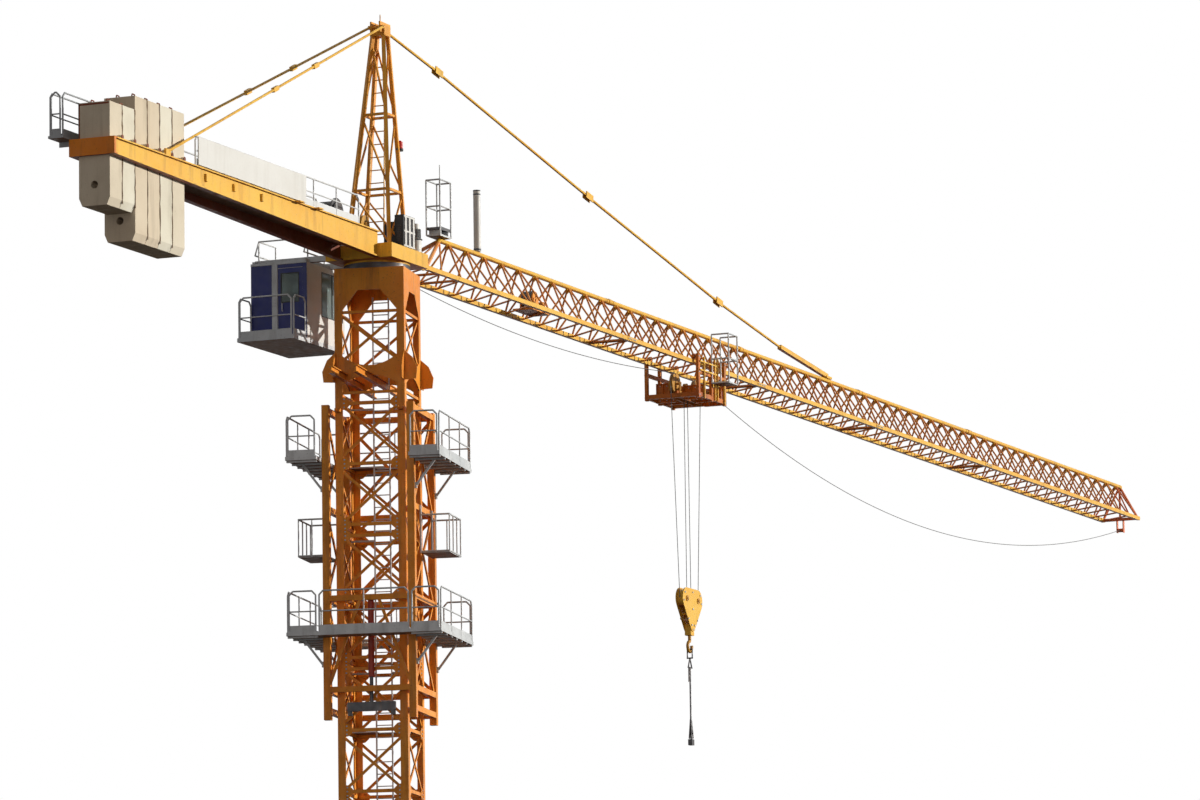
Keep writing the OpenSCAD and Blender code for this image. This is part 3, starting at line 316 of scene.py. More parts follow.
# paints and worn metals: lit tone, shaded tone, dirt, how much of it, and what else sets them apart
yellow = (0.87, 0.52, 0.060), (0.83, 0.42, 0.034), (0.17, 0.065, 0.020), 0.45
paints = {
    "yellowPaint": (*yellow, {"rust": 0.5, "layers": (shadedUnderYellow,)}),
    "jibPaint": (*yellow, {"rust": 0.5, "layers": (lacing, jibTip, shadedUnderYellow)}),
    "beamPaint": (*yellow, {"rust": 0.5, "layers": (beamShadedInside, beamEnd, beamShadedUnder)}),
    "headPaint": ((0.88, 0.43, 0.045), (0.80, 0.30, 0.026), (0.14, 0.05, 0.018), 0.5, {"rust": 0.5}),
    "orangePaint": ((0.88, 0.345, 0.030), (0.76, 0.235, 0.016), (0.12, 0.040, 0.015), 0.55,
                    {"rust": 0.6, "layers": (shadedUnderOrange,)}),
    "trolleyPaint": ((0.74, 0.24, 0.022), (0.44, 0.095, 0.014), (0.07, 0.022, 0.012), 0.7, {"rust": 0.7}),
    "galvanised": ((0.62, 0.64, 0.66), (0.46, 0.49, 0.52), (0.12, 0.11, 0.10), 0.35,
                   {"rough": 0.55, "metallic": 0.1, "layers": (shadedUnderMetal,)}),
    "deckPaint": ((0.44, 0.47, 0.50), (0.31, 0.33, 0.36), (0.13, 0.12, 0.11), 0.35,
                  {"rough": 0.55, "layers": (deckShadedMiddle, shadedUnderMetal)}),
    "paleRail": ((0.76, 0.77, 0.78), (0.62, 0.64, 0.66), (0.20, 0.18, 0.16), 0.3,
                 {"rough": 0.5, "metallic": 0.05}),
    "darkSteel": ((0.075, 0.075, 0.08), (0.035, 0.036, 0.04), (0.10, 0.05, 0.025), 0.5,
                  {"rough": 0.42, "metallic": 0.6}),
    "whitePaint": ((0.78, 0.78, 0.76), (0.71, 0.70, 0.67), (0.34, 0.30, 0.24), 0.18, {"rough": 0.4}),
    "bluePaint": ((0.016, 0.024, 0.16), (0.010, 0.014, 0.09), (0.04, 0.04, 0.06), 0.35, {"rough": 0.4}),
    "blackPaint": ((0.022, 0.024, 0.028), (0.012, 0.013, 0.015), (0.07, 0.06, 0.05), 0.4, {"rough": 0.5}),
    "redPaint": ((0.42, 0.045, 0.018), (0.30, 0.030, 0.012), (0.06, 0.03, 0.02), 0.4, {"rough": 0.4}),
    "greasyPaint": ((0.66, 0.34, 0.040), (0.42, 0.19, 0.028), (0.03, 0.02, 0.012), 0.7, {"rough": 0.4}),
    "rustIron": ((0.22, 0.060, 0.030), (0.13, 0.038, 0.022), (0.05, 0.02, 0.012), 0.5, {"rough": 0.7}),
    "jointDirt": ((0.16, 0.10, 0.055), (0.075, 0.042, 0.024), (0.03, 0.02, 0.012), 0.6, {"rough": 0.8}),
    "redLens": ((0.62, 0.020, 0.012), (0.45, 0.014, 0.010), (0.10, 0.02, 0.015), 0.2, {"rough": 0.25})}
for matName, (*tones, dirtAmount, more) in paints.items():
    wornPaint(matName, *tones, dirtAmount, **more)
concreteMaterial("concrete", cast)
ropeMaterial("wireRope", strand)
glassMaterial("windowGlass", glass)

sides = ("front", "right", "rear", "left")
finish = {
    "jibPaint": [f"jib_section_{k}" for k in range(1, 6)],
    "headPaint": ["tower_head"],
    "yellowPaint": ["jib_pendant", "counter_pendants", "turntable", "hook_block"],
    "beamPaint": ["counter_beams"],
    "trolleyPaint": ["trolley_frame"],
    "orangePaint": ["base_feet", "mast_legs", "ring_support", "trolley_winch",
                    *(f"{part}_{side}" for part in ("mast", "cage") for side in sides)],
    "galvanised": ["mast_ladder", "cage_upper_platform", "cage_lower_platform", "cage_baskets", "cab_hanger",
                   "cab_balcony", "jib_access_cage", "trolley_basket"],
    "deckPaint": ["counter_deck"],
    "paleRail": ["counter_railing"],
    "darkSteel": ["slewing_ring", "jack_yoke", "hoist_winch", "sling"],
    "greasyPaint": ["lead_sheave", "trolley_sheaves", "hook"],
    "whitePaint": ["cab_shell", "blank_panel", "signal_tube", "slew_motors"],
    "bluePaint": ["cab_door"],
    "blackPaint": ["switch_cabinet"],
    "redPaint": ["jack_cylinder"],
    "concrete": ["short_ballast", "tall_ballast"],
    "windowGlass": ["cab_windows"]}
for matName, names in finish.items():
    for name in names:
        nodes[name].data.materials.clear()
        nodes[name].data.materials.append(made[matName])
print("materials made")


def addBox(bm, low, high, turn=None):
    matrix = turn or Matrix.Identity(4)
    spots = [(x, y, z) for x in (low[0], high[0]) for y in (low[1], high[1]) for z in (low[2], high[2])]
    v = [bm.verts.new(matrix @ Vector(spot)) for spot in spots]
    for f in ((0, 1, 3, 2), (4, 6, 7, 5), (0, 4, 5, 1), (2, 3, 7, 6), (0, 2, 6, 4), (1, 5, 7, 3)):
        bm.faces.new([v[i] for i in f])


def ringAround(bm, centre, side, other, reaches):
    angles = [2 * math.pi * k / len(reaches) for k in range(len(reaches))]
    return [bm.verts.new(centre + reach * (math.cos(angle) * side + math.sin(angle) * other))
            for angle, reach in zip(angles, reaches)]


# walls between rings of points, and a lid at each end
def joinRings(bm, rings):
    for low, high in zip(rings, rings[1:]):
        for i in range(len(low)):
            n = (i + 1) % len(low)
            bm.faces.new([low[i], low[n], high[n], high[i]])
    bm.faces.new(list(reversed(rings[0])))
    bm.faces.new(rings[-1])


def addTube(bm, start, end, radius, sides):
    start, end = Vector(start), Vector(end)
    axis = (end - start).normalized()
    side = axis.orthogonal().normalized()
    other = axis.cross(side)
    joinRings(bm, [ringAround(bm, centre, side, other, [radius] * sides) for centre in (start, end)])


def addPlate(bm, outline, thickness, turn):
    low = [bm.verts.new(turn @ Vector((x, y, 0))) for x, y in outline]
    high = [bm.verts.new(turn @ Vector((x, y, thickness))) for x, y in outline]
    bm.faces.new(list(reversed(low)))
    bm.faces.new(high)
    for k in range(len(outline)):
        n = (k + 1) % len(outline)
        bm.faces.new([low[k], low[n], high[n], high[k]])


def finishPiece(name, bm, mat, body="slewing"):
    bmesh.ops.recalc_face_normals(bm, faces=bm.faces)
    mesh = bpy.data.meshes.new(name)
    bm.to_mesh(mesh)
    bm.free()
    mesh.materials.append(made[mat])
    piece = addObject(name, mesh)
    if body:
        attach(piece, body)
    return piece


def boxPiece(name, mat, boxes, body="slewing"):
    bm = bmesh.new()
    for low, high in boxes:
        addBox(bm, low, high)
    finishPiece(name, bm, mat, body)


def tubePiece(name, mat, tubes, body="slewing"):
    bm = bmesh.new()
    for start, end, radius, sides in tubes:
        addTube(bm, start, end, radius, sides)
    finishPiece(name, bm, mat, body)


def mastSide(i):
    return Matrix.Rotation(mastTurn + math.radians(90) * i, 4, "Z")


# a tree for repeated shapes starts with seed points and named sizes
def startTree(name, sizeNames):
    tree = bpy.data.node_groups.new(name, "GeometryNodeTree")
    tree.interface.new_socket("Geometry", in_out="INPUT", socket_type="NodeSocketGeometry")
    for size in sizeNames:
        tree.interface.new_socket(size, in_out="INPUT", socket_type="NodeSocketFloat")
    tree.interface.new_socket("Geometry", in_out="OUTPUT", socket_type="NodeSocketGeometry")
    return tree, tree.nodes.new("NodeGroupInput")


# and ends with one painted copy of the shape at each point, turned by a socket or by fixed angles
def endTree(tree, source, shape, turn, mat):
    values = {"Points": source.outputs["Geometry"], "Instance": shape, "Rotation": turn}
    place = addNode(tree, "GeometryNodeInstanceOnPoints", values)
    real = addNode(tree, "GeometryNodeRealizeInstances", {0: place.outputs[0]})
    paint = addNode(tree, "GeometryNodeSetMaterial", {0: real.outputs[0]})
    paint.inputs["Material"].default_value = made[mat]
    addNode(tree, "NodeGroupOutput", {0: paint.outputs[0]})
    return tree


def aimTurn(tree, axis):
    aim = tree.nodes.new("GeometryNodeInputNamedAttribute")
    aim.data_type = "FLOAT_VECTOR"
    aim.inputs["Name"].default_value = "aim"
    align = addNode(tree, "FunctionNodeAlignRotationToVector", {"Vector": aim.outputs[0]})
    align.axis = axis
    return align.outputs[0]


def boltField(mat):
    tree, source = startTree("boltField", ["Radius", "Height"])
    values = {"Vertices": 6, "Radius": source.outputs["Radius"], "Depth": source.outputs["Height"]}
    bolt = addNode(tree, "GeometryNodeMeshCylinder", values)
    return endTree(tree, source, bolt.outputs["Mesh"], aimTurn(tree, "Z"), mat)


def slatField(mat):
    sizeNames = ["Length", "Width", "Height"]
    tree, source = startTree("slatField", sizeNames)
    values = {k: source.outputs[size] for k, size in enumerate(sizeNames)}
    join = addNode(tree, "ShaderNodeCombineXYZ", values)
    slat = addNode(tree, "GeometryNodeMeshCube", {"Size": join.outputs[0]})
    return endTree(tree, source, slat.outputs["Mesh"], aimTurn(tree, "X"), mat)


def ringField(name, turn, mat, ringSides=32, wireSides=6):
    tree, source = startTree(name, ["Ring", "Wire"])
    circle = "GeometryNodeCurvePrimitiveCircle"
    ring, wire = (addNode(tree, circle, {"Resolution": count, "Radius": source.outputs[size]}).outputs[0]
                  for count, size in ((ringSides, "Ring"), (wireSides, "Wire")))
    values = {"Curve": ring, "Profile Curve": wire}
    sweep = addNode(tree, "GeometryNodeCurveToMesh", values)
    return endTree(tree, source, sweep.outputs["Mesh"], turn, mat)


# spots are points, each with the way its copy faces
def scatter(name, tree, spots, sizes, body="slewing"):
    seeds = bpy.data.meshes.new(name + "Seeds")
    seeds.from_pydata([tuple(point) for point, aim in spots], [], [])
    aimData = seeds.attributes.new("aim", "FLOAT_VECTOR", "POINT")
    for item, (point, aim) in zip(aimData.data, spots):
        item.vector = aim
    holder = addObject(name + "Seeds", seeds)
    modifier = holder.modifiers.new("field", "NODES")
    modifier.node_group = tree
    sockets = [s for s in tree.interface.items_tree if s.in_out == "INPUT"][1:]
    for socket, size in zip(sockets, sizes):
        modifier[socket.identifier] = size
    depsgraph = bpy.context.evaluated_depsgraph_get()
    mesh = bpy.data.meshes.new_from_object(holder.evaluated_get(depsgraph), depsgraph=depsgraph)
    holder.modifiers.clear()
    bpy.data.objects.remove(holder)
    mesh.name = name
    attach(addObject(name, mesh), body)


boltTree = boltField("galvanised")
slatTree = slatField("galvanised")

# mast: gusset plates with bolts where the braces meet the legs, its shape as shares of width and height
gusset = {"depth": 0.0145, "thick": 0.006, "wide": 0.105, "tall": 0.17, "overlap": 0.02, "fromEnd": 0.070,
          "shape": ((0.0, -0.5), (0.0, 0.5), (0.55, 0.42), (1.0, 0.16), (1.0, -0.16), (0.55, -0.42)),
          "boltInset": 0.035, "boltRows": (-0.05, 0, 0.05), "bolt": (0.011, 0.012)}


def mastGussets(g):
    bm = bmesh.new()
    bolts = []
    inner = mast["half"] - mast["leg"] + g["overlap"]
    face = -mast["half"] + g["depth"] - g["thick"]
    upright = Matrix(((0, 0, 1, 0), (1, 0, 0, 0), (0, 1, 0, 0), (0, 0, 0, 1)))
    heights = [mast["foot"] + s * mast["section"] + z for s in range(mast["count"])
               for z in (g["fromEnd"], mast["section"] / 2, mast["section"] - g["fromEnd"])]
    for i in range(4):
        turn = mastSide(i)
        aim = turn.to_3x3() @ Vector((-1, 0, 0))
        for z in heights:
            for sign in (-1, 1):
                outline = [(sign * (inner - g["wide"] * a), g["tall"] * b) for a, b in g["shape"]]
                addPlate(bm, outline, g["thick"], turn @ Matrix.Translation((face, 0, z)) @ upright)
                for row in g["boltRows"]:
                    bolts.append((turn @ Vector((face, sign * (inner - g["boltInset"]), z + row)), aim))
    finishPiece("mastGussets", bm, "orangePaint", "root")
    scatter("mastBolts", boltTree, bolts, g["bolt"], "root")


mastGussets(gusset)
print("mast dressed")

# ladder inside the tower head, leaning forward and narrower at its top
ladder = {"foot": 0.30, "high": 2.70, "rungFoot": 0.34, "rungRun": 2.30, "rungs": 14,
          "x": -0.03, "lean": 0.16, "half": 0.11, "narrower": 0.3, "rail": 0.009, "rung": 0.007, "sides": 6}


def headLadder(v):
    tubes = []
    topHalf = v["half"] * (1 - v["narrower"])
    for side in (-1, 1):
        foot = v["x"], side * v["half"], jibZ + v["foot"]
        top = v["x"] + v["lean"], side * topHalf, jibZ + v["high"]
        tubes.append((foot, top, v["rail"], v["sides"]))
    for k in range(v["rungs"]):
        t = k / v["rungs"]
        rise = v["rungFoot"] + v["rungRun"] * t
        x = v["x"] + v["lean"] * (rise - v["foot"]) / (v["high"] - v["foot"])
        half = v["half"] * (1 - v["narrower"] * t)
        tubes.append(((x, -half, jibZ + rise), (x, half, jibZ + rise), v["rung"], v["sides"]))
    tubePiece("headLadder", "yellowPaint", tubes)


headLadder(ladder)

# red lamp on the front of the tower head
lamp = {"x": 0.300, "y": -0.190, "z": 1.46, "radius": 0.036, "glass": 0.085, "cap": 0.015, "capShare": 0.6,
        "foot": 0.03, "footShare": 1.15, "arm": 0.10, "armHalf": 0.010, "armTall": 0.018, "sides": 16}


def warningLamp(v):
    x, y, z = v["x"], v["y"], jibZ + v["z"]
    capFoot, footLow = z + v["glass"], z - v["foot"]
    tubePiece("warningLamp", "redLens", [
        ((x, y, z), (x, y, capFoot), v["radius"], v["sides"]),
        ((x, y, capFoot), (x, y, capFoot + v["cap"]), v["radius"] * v["capShare"], v["sides"])])
    bm = bmesh.new()
    addTube(bm, (x, y, footLow), (x, y, z), v["radius"] * v["footShare"], v["sides"])
    addBox(bm, (x - v["arm"], y - v["armHalf"], footLow), (x, y + v["armHalf"], footLow + v["armTall"]))
    finishPiece("lampFoot", bm, "blackPaint")


warningLamp(lamp)


# open slats on the decks and platforms
def deckSlats(name, body, spans, size, step):
    spots = []
    for turn, x0, x1, y, z in spans:
        count = max(1, round((x1 - x0) / step))
        aim = turn.to_3x3() @ Vector((0, 1, 0))
        spots += [(turn @ Vector((x0 + (x1 - x0) * k / count, y, z)), aim) for k in range(count + 1)]
    scatter(name, slatTree, spots, size, body)


# work platforms of the cage: half length, reach and thickness, and slats and joists as width and height
deck = {"x": 0.87, "y": 0.97, "thick": 0.046, "upper": cage["top"] - 0.71, "lower": cage["top"] - 2.87,
        "slat": (0.006, 0.022), "slatStep": 0.034, "slatInset": 0.02, "slatShort": 0.03, "slatRise": 0.003,
        "joist": (0.03, 0.024), "joistStep": 0.29, "joistInset": 0.06, "joistShort": 0.01, "joistDrop": 0.012,
        "endHalf": 0.56, "endY": 0.725, "endSlat": 0.26}
walk = {"x": (-7.82, -5.67), "y": 0.381, "z": jibZ + 0.324, "slat": (0.13, 0.006, 0.014), "step": 0.03}


def platformSlats(d):
    along, across = mastSide(0), mastSide(1)
    wide = d["y"] - cage["half"]
    mid = (d["y"] + cage["half"]) / 2
    slatZ = d["thick"] + d["slatRise"]
    for label in ("upper", "lower"):
        end = d["x"] - d["slatInset"]
        spans = [(along, -end, end, sign * mid, d[label] + slatZ) for sign in (-1, 1)]
        deckSlats(label + "Slats", "cage", spans, [wide - d["slatShort"], *d["slat"]], d["slatStep"])
        end = d["x"] - d["joistInset"]
        spans = [(along, -end, end, sign * mid, d[label] - d["joistDrop"]) for sign in (-1, 1)]
        deckSlats(label + "Joists", "cage", spans, [wide - d["joistShort"], *d["joist"]], d["joistStep"])
    ends = [(across, -d["endHalf"], d["endHalf"], sign * d["endY"], d[label] + slatZ)
            for sign, label in ((-1, "upper"), (-1, "lower"), (1, "lower"))]
    deckSlats("endSlats", "cage", ends, [d["endSlat"], *d["slat"]], d["slatStep"])


platformSlats(deck)
walkSpan = Matrix.Identity(4), *walk["x"], walk["y"], walk["z"]
deckSlats("walkSlats", "slewing", [walkSpan], walk["slat"], walk["step"])
print("decks dressed")

# jib: splice plates, collars and bolts where its sections meet, and bays of lacing as start, end and count
jib = {"half": 0.325, "chord": 0.056, "top": 0.558, "splits": (7.37, 12.04, 16.71, 21.38),
       "bays": ((1.87, 7.37, 10), (7.37, 21.38, 30), (21.38, 28.6, 15))}
splice = {"half": 0.14, "thick": 0.006, "edge": 0.006, "boltX": (-0.11, -0.07, -0.03, 0.03, 0.07, 0.11),
          "boltRise": 0.008, "bolt": (0.010, 0.010), "sides": 16,
          "collars": ((-0.05, 0.05, 0.040), (-0.13, -0.09, 0.036), (0.09, 0.13, 0.036))}


def jibSplices(j, v):
    bm = bmesh.new()
    bolts = []
    topZ, boltZ = jibZ + j["top"], jibZ + j["chord"] / 2
    for x in j["splits"]:
        for sign in (-1, 1):
            y = sign * j["half"]
            low, high = sorted((y, y + sign * v["thick"]))
            addBox(bm, (x - v["half"], low, jibZ + v["edge"]),
                   (x + v["half"], high, jibZ + j["chord"] - v["edge"]))
            bolts += [((x + dx, y + sign * v["boltRise"], boltZ), (0, sign, 0)) for dx in v["boltX"]]
        for x0, x1, radius in v["collars"]:
            addTube(bm, (x + x0, 0, topZ), (x + x1, 0, topZ), radius, v["sides"])
    finishPiece("jibSplices", bm, "yellowPaint")
    scatter("jibBolts", boltTree, bolts, v["bolt"])


jibSplices(jib, splice)

# small gussets where the jib lacing meets its top chord
knot = {"topHalf": 0.06, "lowHalf": 0.035, "tall": 0.07, "thick": 0.004, "y": 0.012, "drop": 0.02, "lean": 31}


def jibKnots(j, v):
    bm = bmesh.new()
    spots = [x0 + (x1 - x0) * (k + 0.5) / count for x0, x1, count in j["bays"] for k in range(count)]
    foot = -v["tall"]
    outline = [(-v["topHalf"], 0.0), (v["topHalf"], 0.0), (v["lowHalf"], foot), (-v["lowHalf"], foot)]
    for x in spots:
        for sign in (-1, 1):
            place = Matrix.Translation((x, sign * v["y"], jibZ + j["top"] - v["drop"]))
            upright = Matrix.Rotation(math.radians(90), 4, "X")
            lean = Matrix.Rotation(-sign * math.radians(v["lean"]), 4, "X")
            addPlate(bm, outline, v["thick"], place @ upright @ lean)
    finishPiece("jibKnots", bm, "yellowPaint")


jibKnots(jib, knot)

# floor and brackets of the access cage, and bands of the signal tube
access = {"x": 1.70, "long": 0.33, "half": 0.095, "z": jibZ + 0.59, "floor": 0.085,
          "bars": 13, "barInset": 0.012, "barHalf": 0.004, "barY": 0.008, "barTall": 0.030,
          "edges": (0.004, -0.010), "edgeWide": 0.006, "edgeLow": 0.004, "edgeHigh": 0.036,
          "bracketInset": 0.06, "bracketHalf": 0.004, "bracketY": 0.01, "bracketFoot": 0.022}
tubeBand = {"x": 3.06, "spans": ((0.012, 0.040), (0.735, 0.752), (0.786, 0.800)), "radius": 0.0485,
            "sides": 24}


def accessTrim(a, t):
    x0, x1, z = a["x"], a["x"] + a["long"], a["z"] + a["floor"]
    step = (a["long"] - 2 * a["barInset"]) / (a["bars"] - 1)
    middles = [x0 + a["barInset"] + k * step for k in range(a["bars"])]
    reach = a["half"] - a["barY"]
    bars = [((x - a["barHalf"], -reach, z), (x + a["barHalf"], reach, z + a["barTall"])) for x in middles]
    bars += [((x0, y, z - a["edgeLow"]), (x1, y + a["edgeWide"], z + a["edgeHigh"]))
             for y in (a["edges"][0] - a["half"], a["half"] + a["edges"][1])]
    boxPiece("accessGrating", "darkSteel", bars)
    reach = a["half"] - a["bracketY"]
    foot = a["z"] + a["bracketFoot"]
    boxPiece("accessBrackets", "galvanised", [
        ((x - a["bracketHalf"], -reach, foot), (x + a["bracketHalf"], reach, z))
        for x in (x0 + a["bracketInset"], x1 - a["bracketInset"])])
    tubePiece("tubeBands", "darkSteel", [
        ((t["x"], 0, a["z"] + low), (t["x"], 0, a["z"] + high), t["radius"], t["sides"])
        for low, high in t["spans"]])


accessTrim(access, tubeBand)
print("jib dressed")

# rings in a row: rope on the drums and sheaves, fins and flanges on the motors
acrossJib, flat = (math.pi / 2, 0, 0), (0, 0, 0)
motor = {"places": {"front": (0.43, -0.33), "rear": (-0.43, 0.33)}, "finFoot": 0.195, "finTall": 0.115,
         "finCount": 18, "finInner": 0.054, "finOuter": 0.068, "finHalf": 0.003}
winchTurns = {"first": (-1.5, -0.140, jibZ + 0.372), "step": (0, 0.012, 0), "count": 24,
              "size": (0.144, 0.006)}
winchFins = {"first": (-1.17, -0.120, jibZ + 0.277), "step": (0, 0.020, 0), "count": 13,
             "size": (0.097, 0.005)}
trolleyTurns = {"first": (4.70, -0.066, jibZ + 0.2063), "step": (0, 0.012, 0), "count": 12,
                "size": (0.103, 0.006)}
sheaveTurns = {"first": (trolleyX - 0.38, 0, jibZ - 0.25), "step": (0.76, 0, 0), "count": 2,
               "size": (0.152, 0.005)}
motorFin = {"first": (0, 0, tableTop + 0.20), "step": (0, 0, 0.014), "count": 8, "size": (0.060, 0.004)}
motorFlange = {"first": (0, 0, tableTop + 0.012), "step": (0, 0, 0.168), "count": 2, "size": (0.080, 0.008)}


def ringRow(name, body, mat, turn, r, centre=(0, 0)):
    start = (r["first"][0] + centre[0], r["first"][1] + centre[1], r["first"][2])
    spots = [([a + b * k for a, b in zip(start, r["step"])], (0, 0, 1)) for k in range(r["count"])]
    scatter(name, ringField(name + "Tree", turn, mat), spots, r["size"], body)


ringRow("winchRope", "slewing", "wireRope", acrossJib, winchTurns)
ringRow("winchMotorFins", "slewing", "blackPaint", acrossJib, winchFins)
for label, centre in motor["places"].items():
    ringRow(label + "MotorFins", "slewing", "whitePaint", flat, motorFin, centre)
    ringRow(label + "MotorFlange", "slewing", "darkSteel", flat, motorFlange, centre)
ringRow("trolleyRopeTurns", "slewing", "wireRope", acrossJib, trolleyTurns)
ringRow("sheaveRope", "trolley", "wireRope", acrossJib, sheaveTurns)


# upright cooling fins of the two slewing motors
def motorFins(m):
    bm = bmesh.new()
    for x, y in m["places"].values():
        place = Matrix.Translation((x, y, tableTop + m["finFoot"]))
        for k in range(m["finCount"]):
            turn = place @ Matrix.Rotation(2 * math.pi * k / m["finCount"], 4, "Z")
            addBox(bm, (m["finInner"], -m["finHalf"], 0.0), (m["finOuter"], m["finHalf"], m["finTall"]), turn)
    finishPiece("motorFins", bm, "blackPaint")


motorFins(motor)

# pale ribs and bands and a vent on the near switch cabinet, ribs and bands at shares of its face
cabinet = {"low": (-0.165, -0.440, tableTop), "high": (0.175, -0.320, tableTop + 0.404), "sunk": 0.001,
           "ribs": (0.16, 0.50, 0.84), "ribHalf": 0.022, "ribProud": 0.010, "ribEnd": 0.02,
           "bands": (0.02, 0.47, 0.93), "bandTall": 0.022, "bandProud": 0.007, "bandEnd": 0.01,
           "slats": 9, "slatFoot": 0.08, "slatStep": 0.022, "slatTall": 0.010, "slatProud": 0.006,
           "slatEnd": 0.03}


def cabinetTrim(c):
    (x0, y0, z0), (x1, y1, z1) = c["low"], c["high"]
    boxes = []
    for x in (x0 + (x1 - x0) * share for share in c["ribs"]):
        boxes.append(((x - c["ribHalf"], y0 - c["ribProud"], z0 + c["ribEnd"]),
                      (x + c["ribHalf"], y0 + c["sunk"], z1 - c["ribEnd"])))
    for z in (z0 + (z1 - z0) * share for share in c["bands"]):
        boxes.append(((x0 + c["bandEnd"], y0 - c["bandProud"], z),
                      (x1 - c["bandEnd"], y0 + c["sunk"], z + c["bandTall"])))
    boxPiece("cabinetRibs", "whitePaint", boxes)
    boxPiece("cabinetVent", "darkSteel", [
        ((x0 - c["slatProud"], y0 + c["slatEnd"], z), (x0 + c["sunk"], y1 - c["slatEnd"], z + c["slatTall"]))
        for z in (z0 + c["slatFoot"] + c["slatStep"] * k for k in range(c["slats"]))])


cabinetTrim(cabinet)
print("winches dressed")


def onTrolley(x, y, z):
    return (trolleyX + x, y, jibZ + z)


# trolley: ribbed cross plates beside the sheaves, as x, two edges, foot and top
crossPlate = {"plates": ((-0.166, 0.06, 0.36, -0.47, -0.20), (0.424, -0.36, -0.11, -0.47, -0.225),
                         (0.20, -0.36, -0.085, -0.44, -0.30), (-0.166, -0.36, -0.06, -0.45, -0.25),
                         (0.18, 0.085, 0.36, -0.45, -0.27)),
              "thick": 0.012, "rim": 0.028, "rib": 0.024, "skin": 0.008, "ribStep": 0.11,
              "boltEnd": 0.035, "boltProud": 0.004, "bolt": (0.009, 0.008),
              "postX": 0.47, "postY": 0.402, "postRows": (-0.43, -0.115, 0.098), "postPair": 0.016}
ropeClamp = {"x": (-0.095, -0.03, 0.10, 0.34), "z": -0.33, "nutEnd": -0.315, "face": -0.30, "back": -0.24,
             "radius": 0.030, "sides": 20, "nut": 0.016}
hangerBar = {"bars": ((-0.33, -0.47, 0.10), (0.06, -0.45, 0.14), (0.15, -0.45, 0.14), (0.40, -0.47, -0.12)),
             "half": 0.011, "y": (-0.424, -0.402),
             "rails": (-0.10, 0.02), "railTall": 0.020, "railX": (-0.47, 0.12), "railY": (-0.420, -0.403)}


def trolleyPlates(p):
    bm = bmesh.new()
    bolts = []
    for x, y0, y1, z0, z1 in p["plates"]:
        addBox(bm, onTrolley(x, y0, z0), onTrolley(x + p["thick"], y1, z1))
        for z in (z0, z1 - p["skin"]):
            addBox(bm, onTrolley(x - p["rim"], y0, z), onTrolley(x, y1, z + p["skin"]))
        ribs = max(2, round((y1 - y0) / p["ribStep"]))
        for k in range(ribs + 1):
            y = y0 + (y1 - y0 - p["skin"]) * k / ribs
            addBox(bm, onTrolley(x - p["rib"], y, z0), onTrolley(x, y + p["skin"], z1))
            if k < ribs:
                for z in (z0 + p["boltEnd"], z1 - p["boltEnd"]):
                    spot = onTrolley(x - p["boltProud"], y + (y1 - y0) / ribs / 2, z)
                    bolts.append((spot, (-1, 0, 0)))
    finishPiece("trolleyPlates", bm, "trolleyPaint", "trolley")
    for sx in (-1, 1):
        for sy in (-1, 1):
            for z in p["postRows"]:
                for dx in (-p["postPair"], p["postPair"]):
                    bolts.append((onTrolley(sx * p["postX"] + dx, sy * p["postY"], z), (0, sy, 0)))
    scatter("trolleyBolts", boltTree, bolts, p["bolt"], "trolley")


def ropeClamps(c):
    tubes = []
    for x in c["x"]:
        nutEnd, face, back = (onTrolley(x, c[y], c["z"]) for y in ("nutEnd", "face", "back"))
        tubes += [(face, back, c["radius"], c["sides"]), (nutEnd, face, c["nut"], 6)]
    tubePiece("ropeClamps", "greasyPaint", tubes, "trolley")


def hangerBars(h):
    (y0, y1), (x0, x1), (near, far) = h["y"], h["railX"], h["railY"]
    boxes = [(onTrolley(x - h["half"], y0, low), onTrolley(x + h["half"], y1, high))
             for x, low, high in h["bars"]]
    boxes += [(onTrolley(x0, near, low), onTrolley(x1, far, low + h["railTall"])) for low in h["rails"]]
    boxPiece("hangerBars", "yellowPaint", boxes, "trolley")


trolleyPlates(crossPlate)
ropeClamps(ropeClamp)
hangerBars(hangerBar)
print("trolley dressed")

# bolts under the slewing ring
ringBolt = {"z": jibZ - 0.162, "circle": 0.385, "count": 36, "bolt": (0.011, 0.012)}


def ringBolts(b):
    angles = [2 * math.pi * k / b["count"] for k in range(b["count"])]
    bolts = [((b["circle"] * math.cos(a), b["circle"] * math.sin(a), b["z"]), (0, 0, -1)) for a in angles]
    scatter("ringBoltsLow", boltTree, bolts, b["bolt"], "root")


ringBolts(ringBolt)

# hook block: bolt heads on its cheeks, and a cap and a nut on each sheave axle
block = {"half": 0.055, "axleX": 0.20, "axleDrop": 0.15, "cap": (0.040, 0.012, 24), "nut": (0.020, 0.022, 6),
         "bolts": ((-0.27, -0.07), (0.27, -0.07), (-0.31, -0.18), (0.31, -0.18), (0, -0.05), (-0.16, -0.42),
                   (0.16, -0.42), (0, -0.56), (-0.05, -0.50), (0.05, -0.50), (0, -0.28)),
         "boltProud": 0.004, "bolt": (0.014, 0.012)}


def blockTrim(b):
    boltY = b["half"] + b["boltProud"]
    bolts = [((trolleyX + dx, sign * boltY, blockTop + dz), (0, sign, 0))
             for sign in (-1, 1) for dx, dz in b["bolts"]]
    scatter("blockBolts", boltTree, bolts, b["bolt"], "hook_block")
    z = blockTop - b["axleDrop"]
    tubePiece("blockAxles", "greasyPaint", [
        ((x, sign * b["half"], z), (x, sign * (b["half"] + proud), z), radius, sides)
        for sign in (-1, 1) for x in (trolleyX - b["axleX"], trolleyX + b["axleX"])
        for radius, proud, sides in (b["cap"], b["nut"])], "hook_block")


blockTrim(block)

# spread chains above the weight at the foot of the sling, with reach and rise of both their ends
tail = {"chains": 5, "foot": (0.030, 0.09), "top": (0.006, 0.36), "radius": 0.010, "sides": 8}


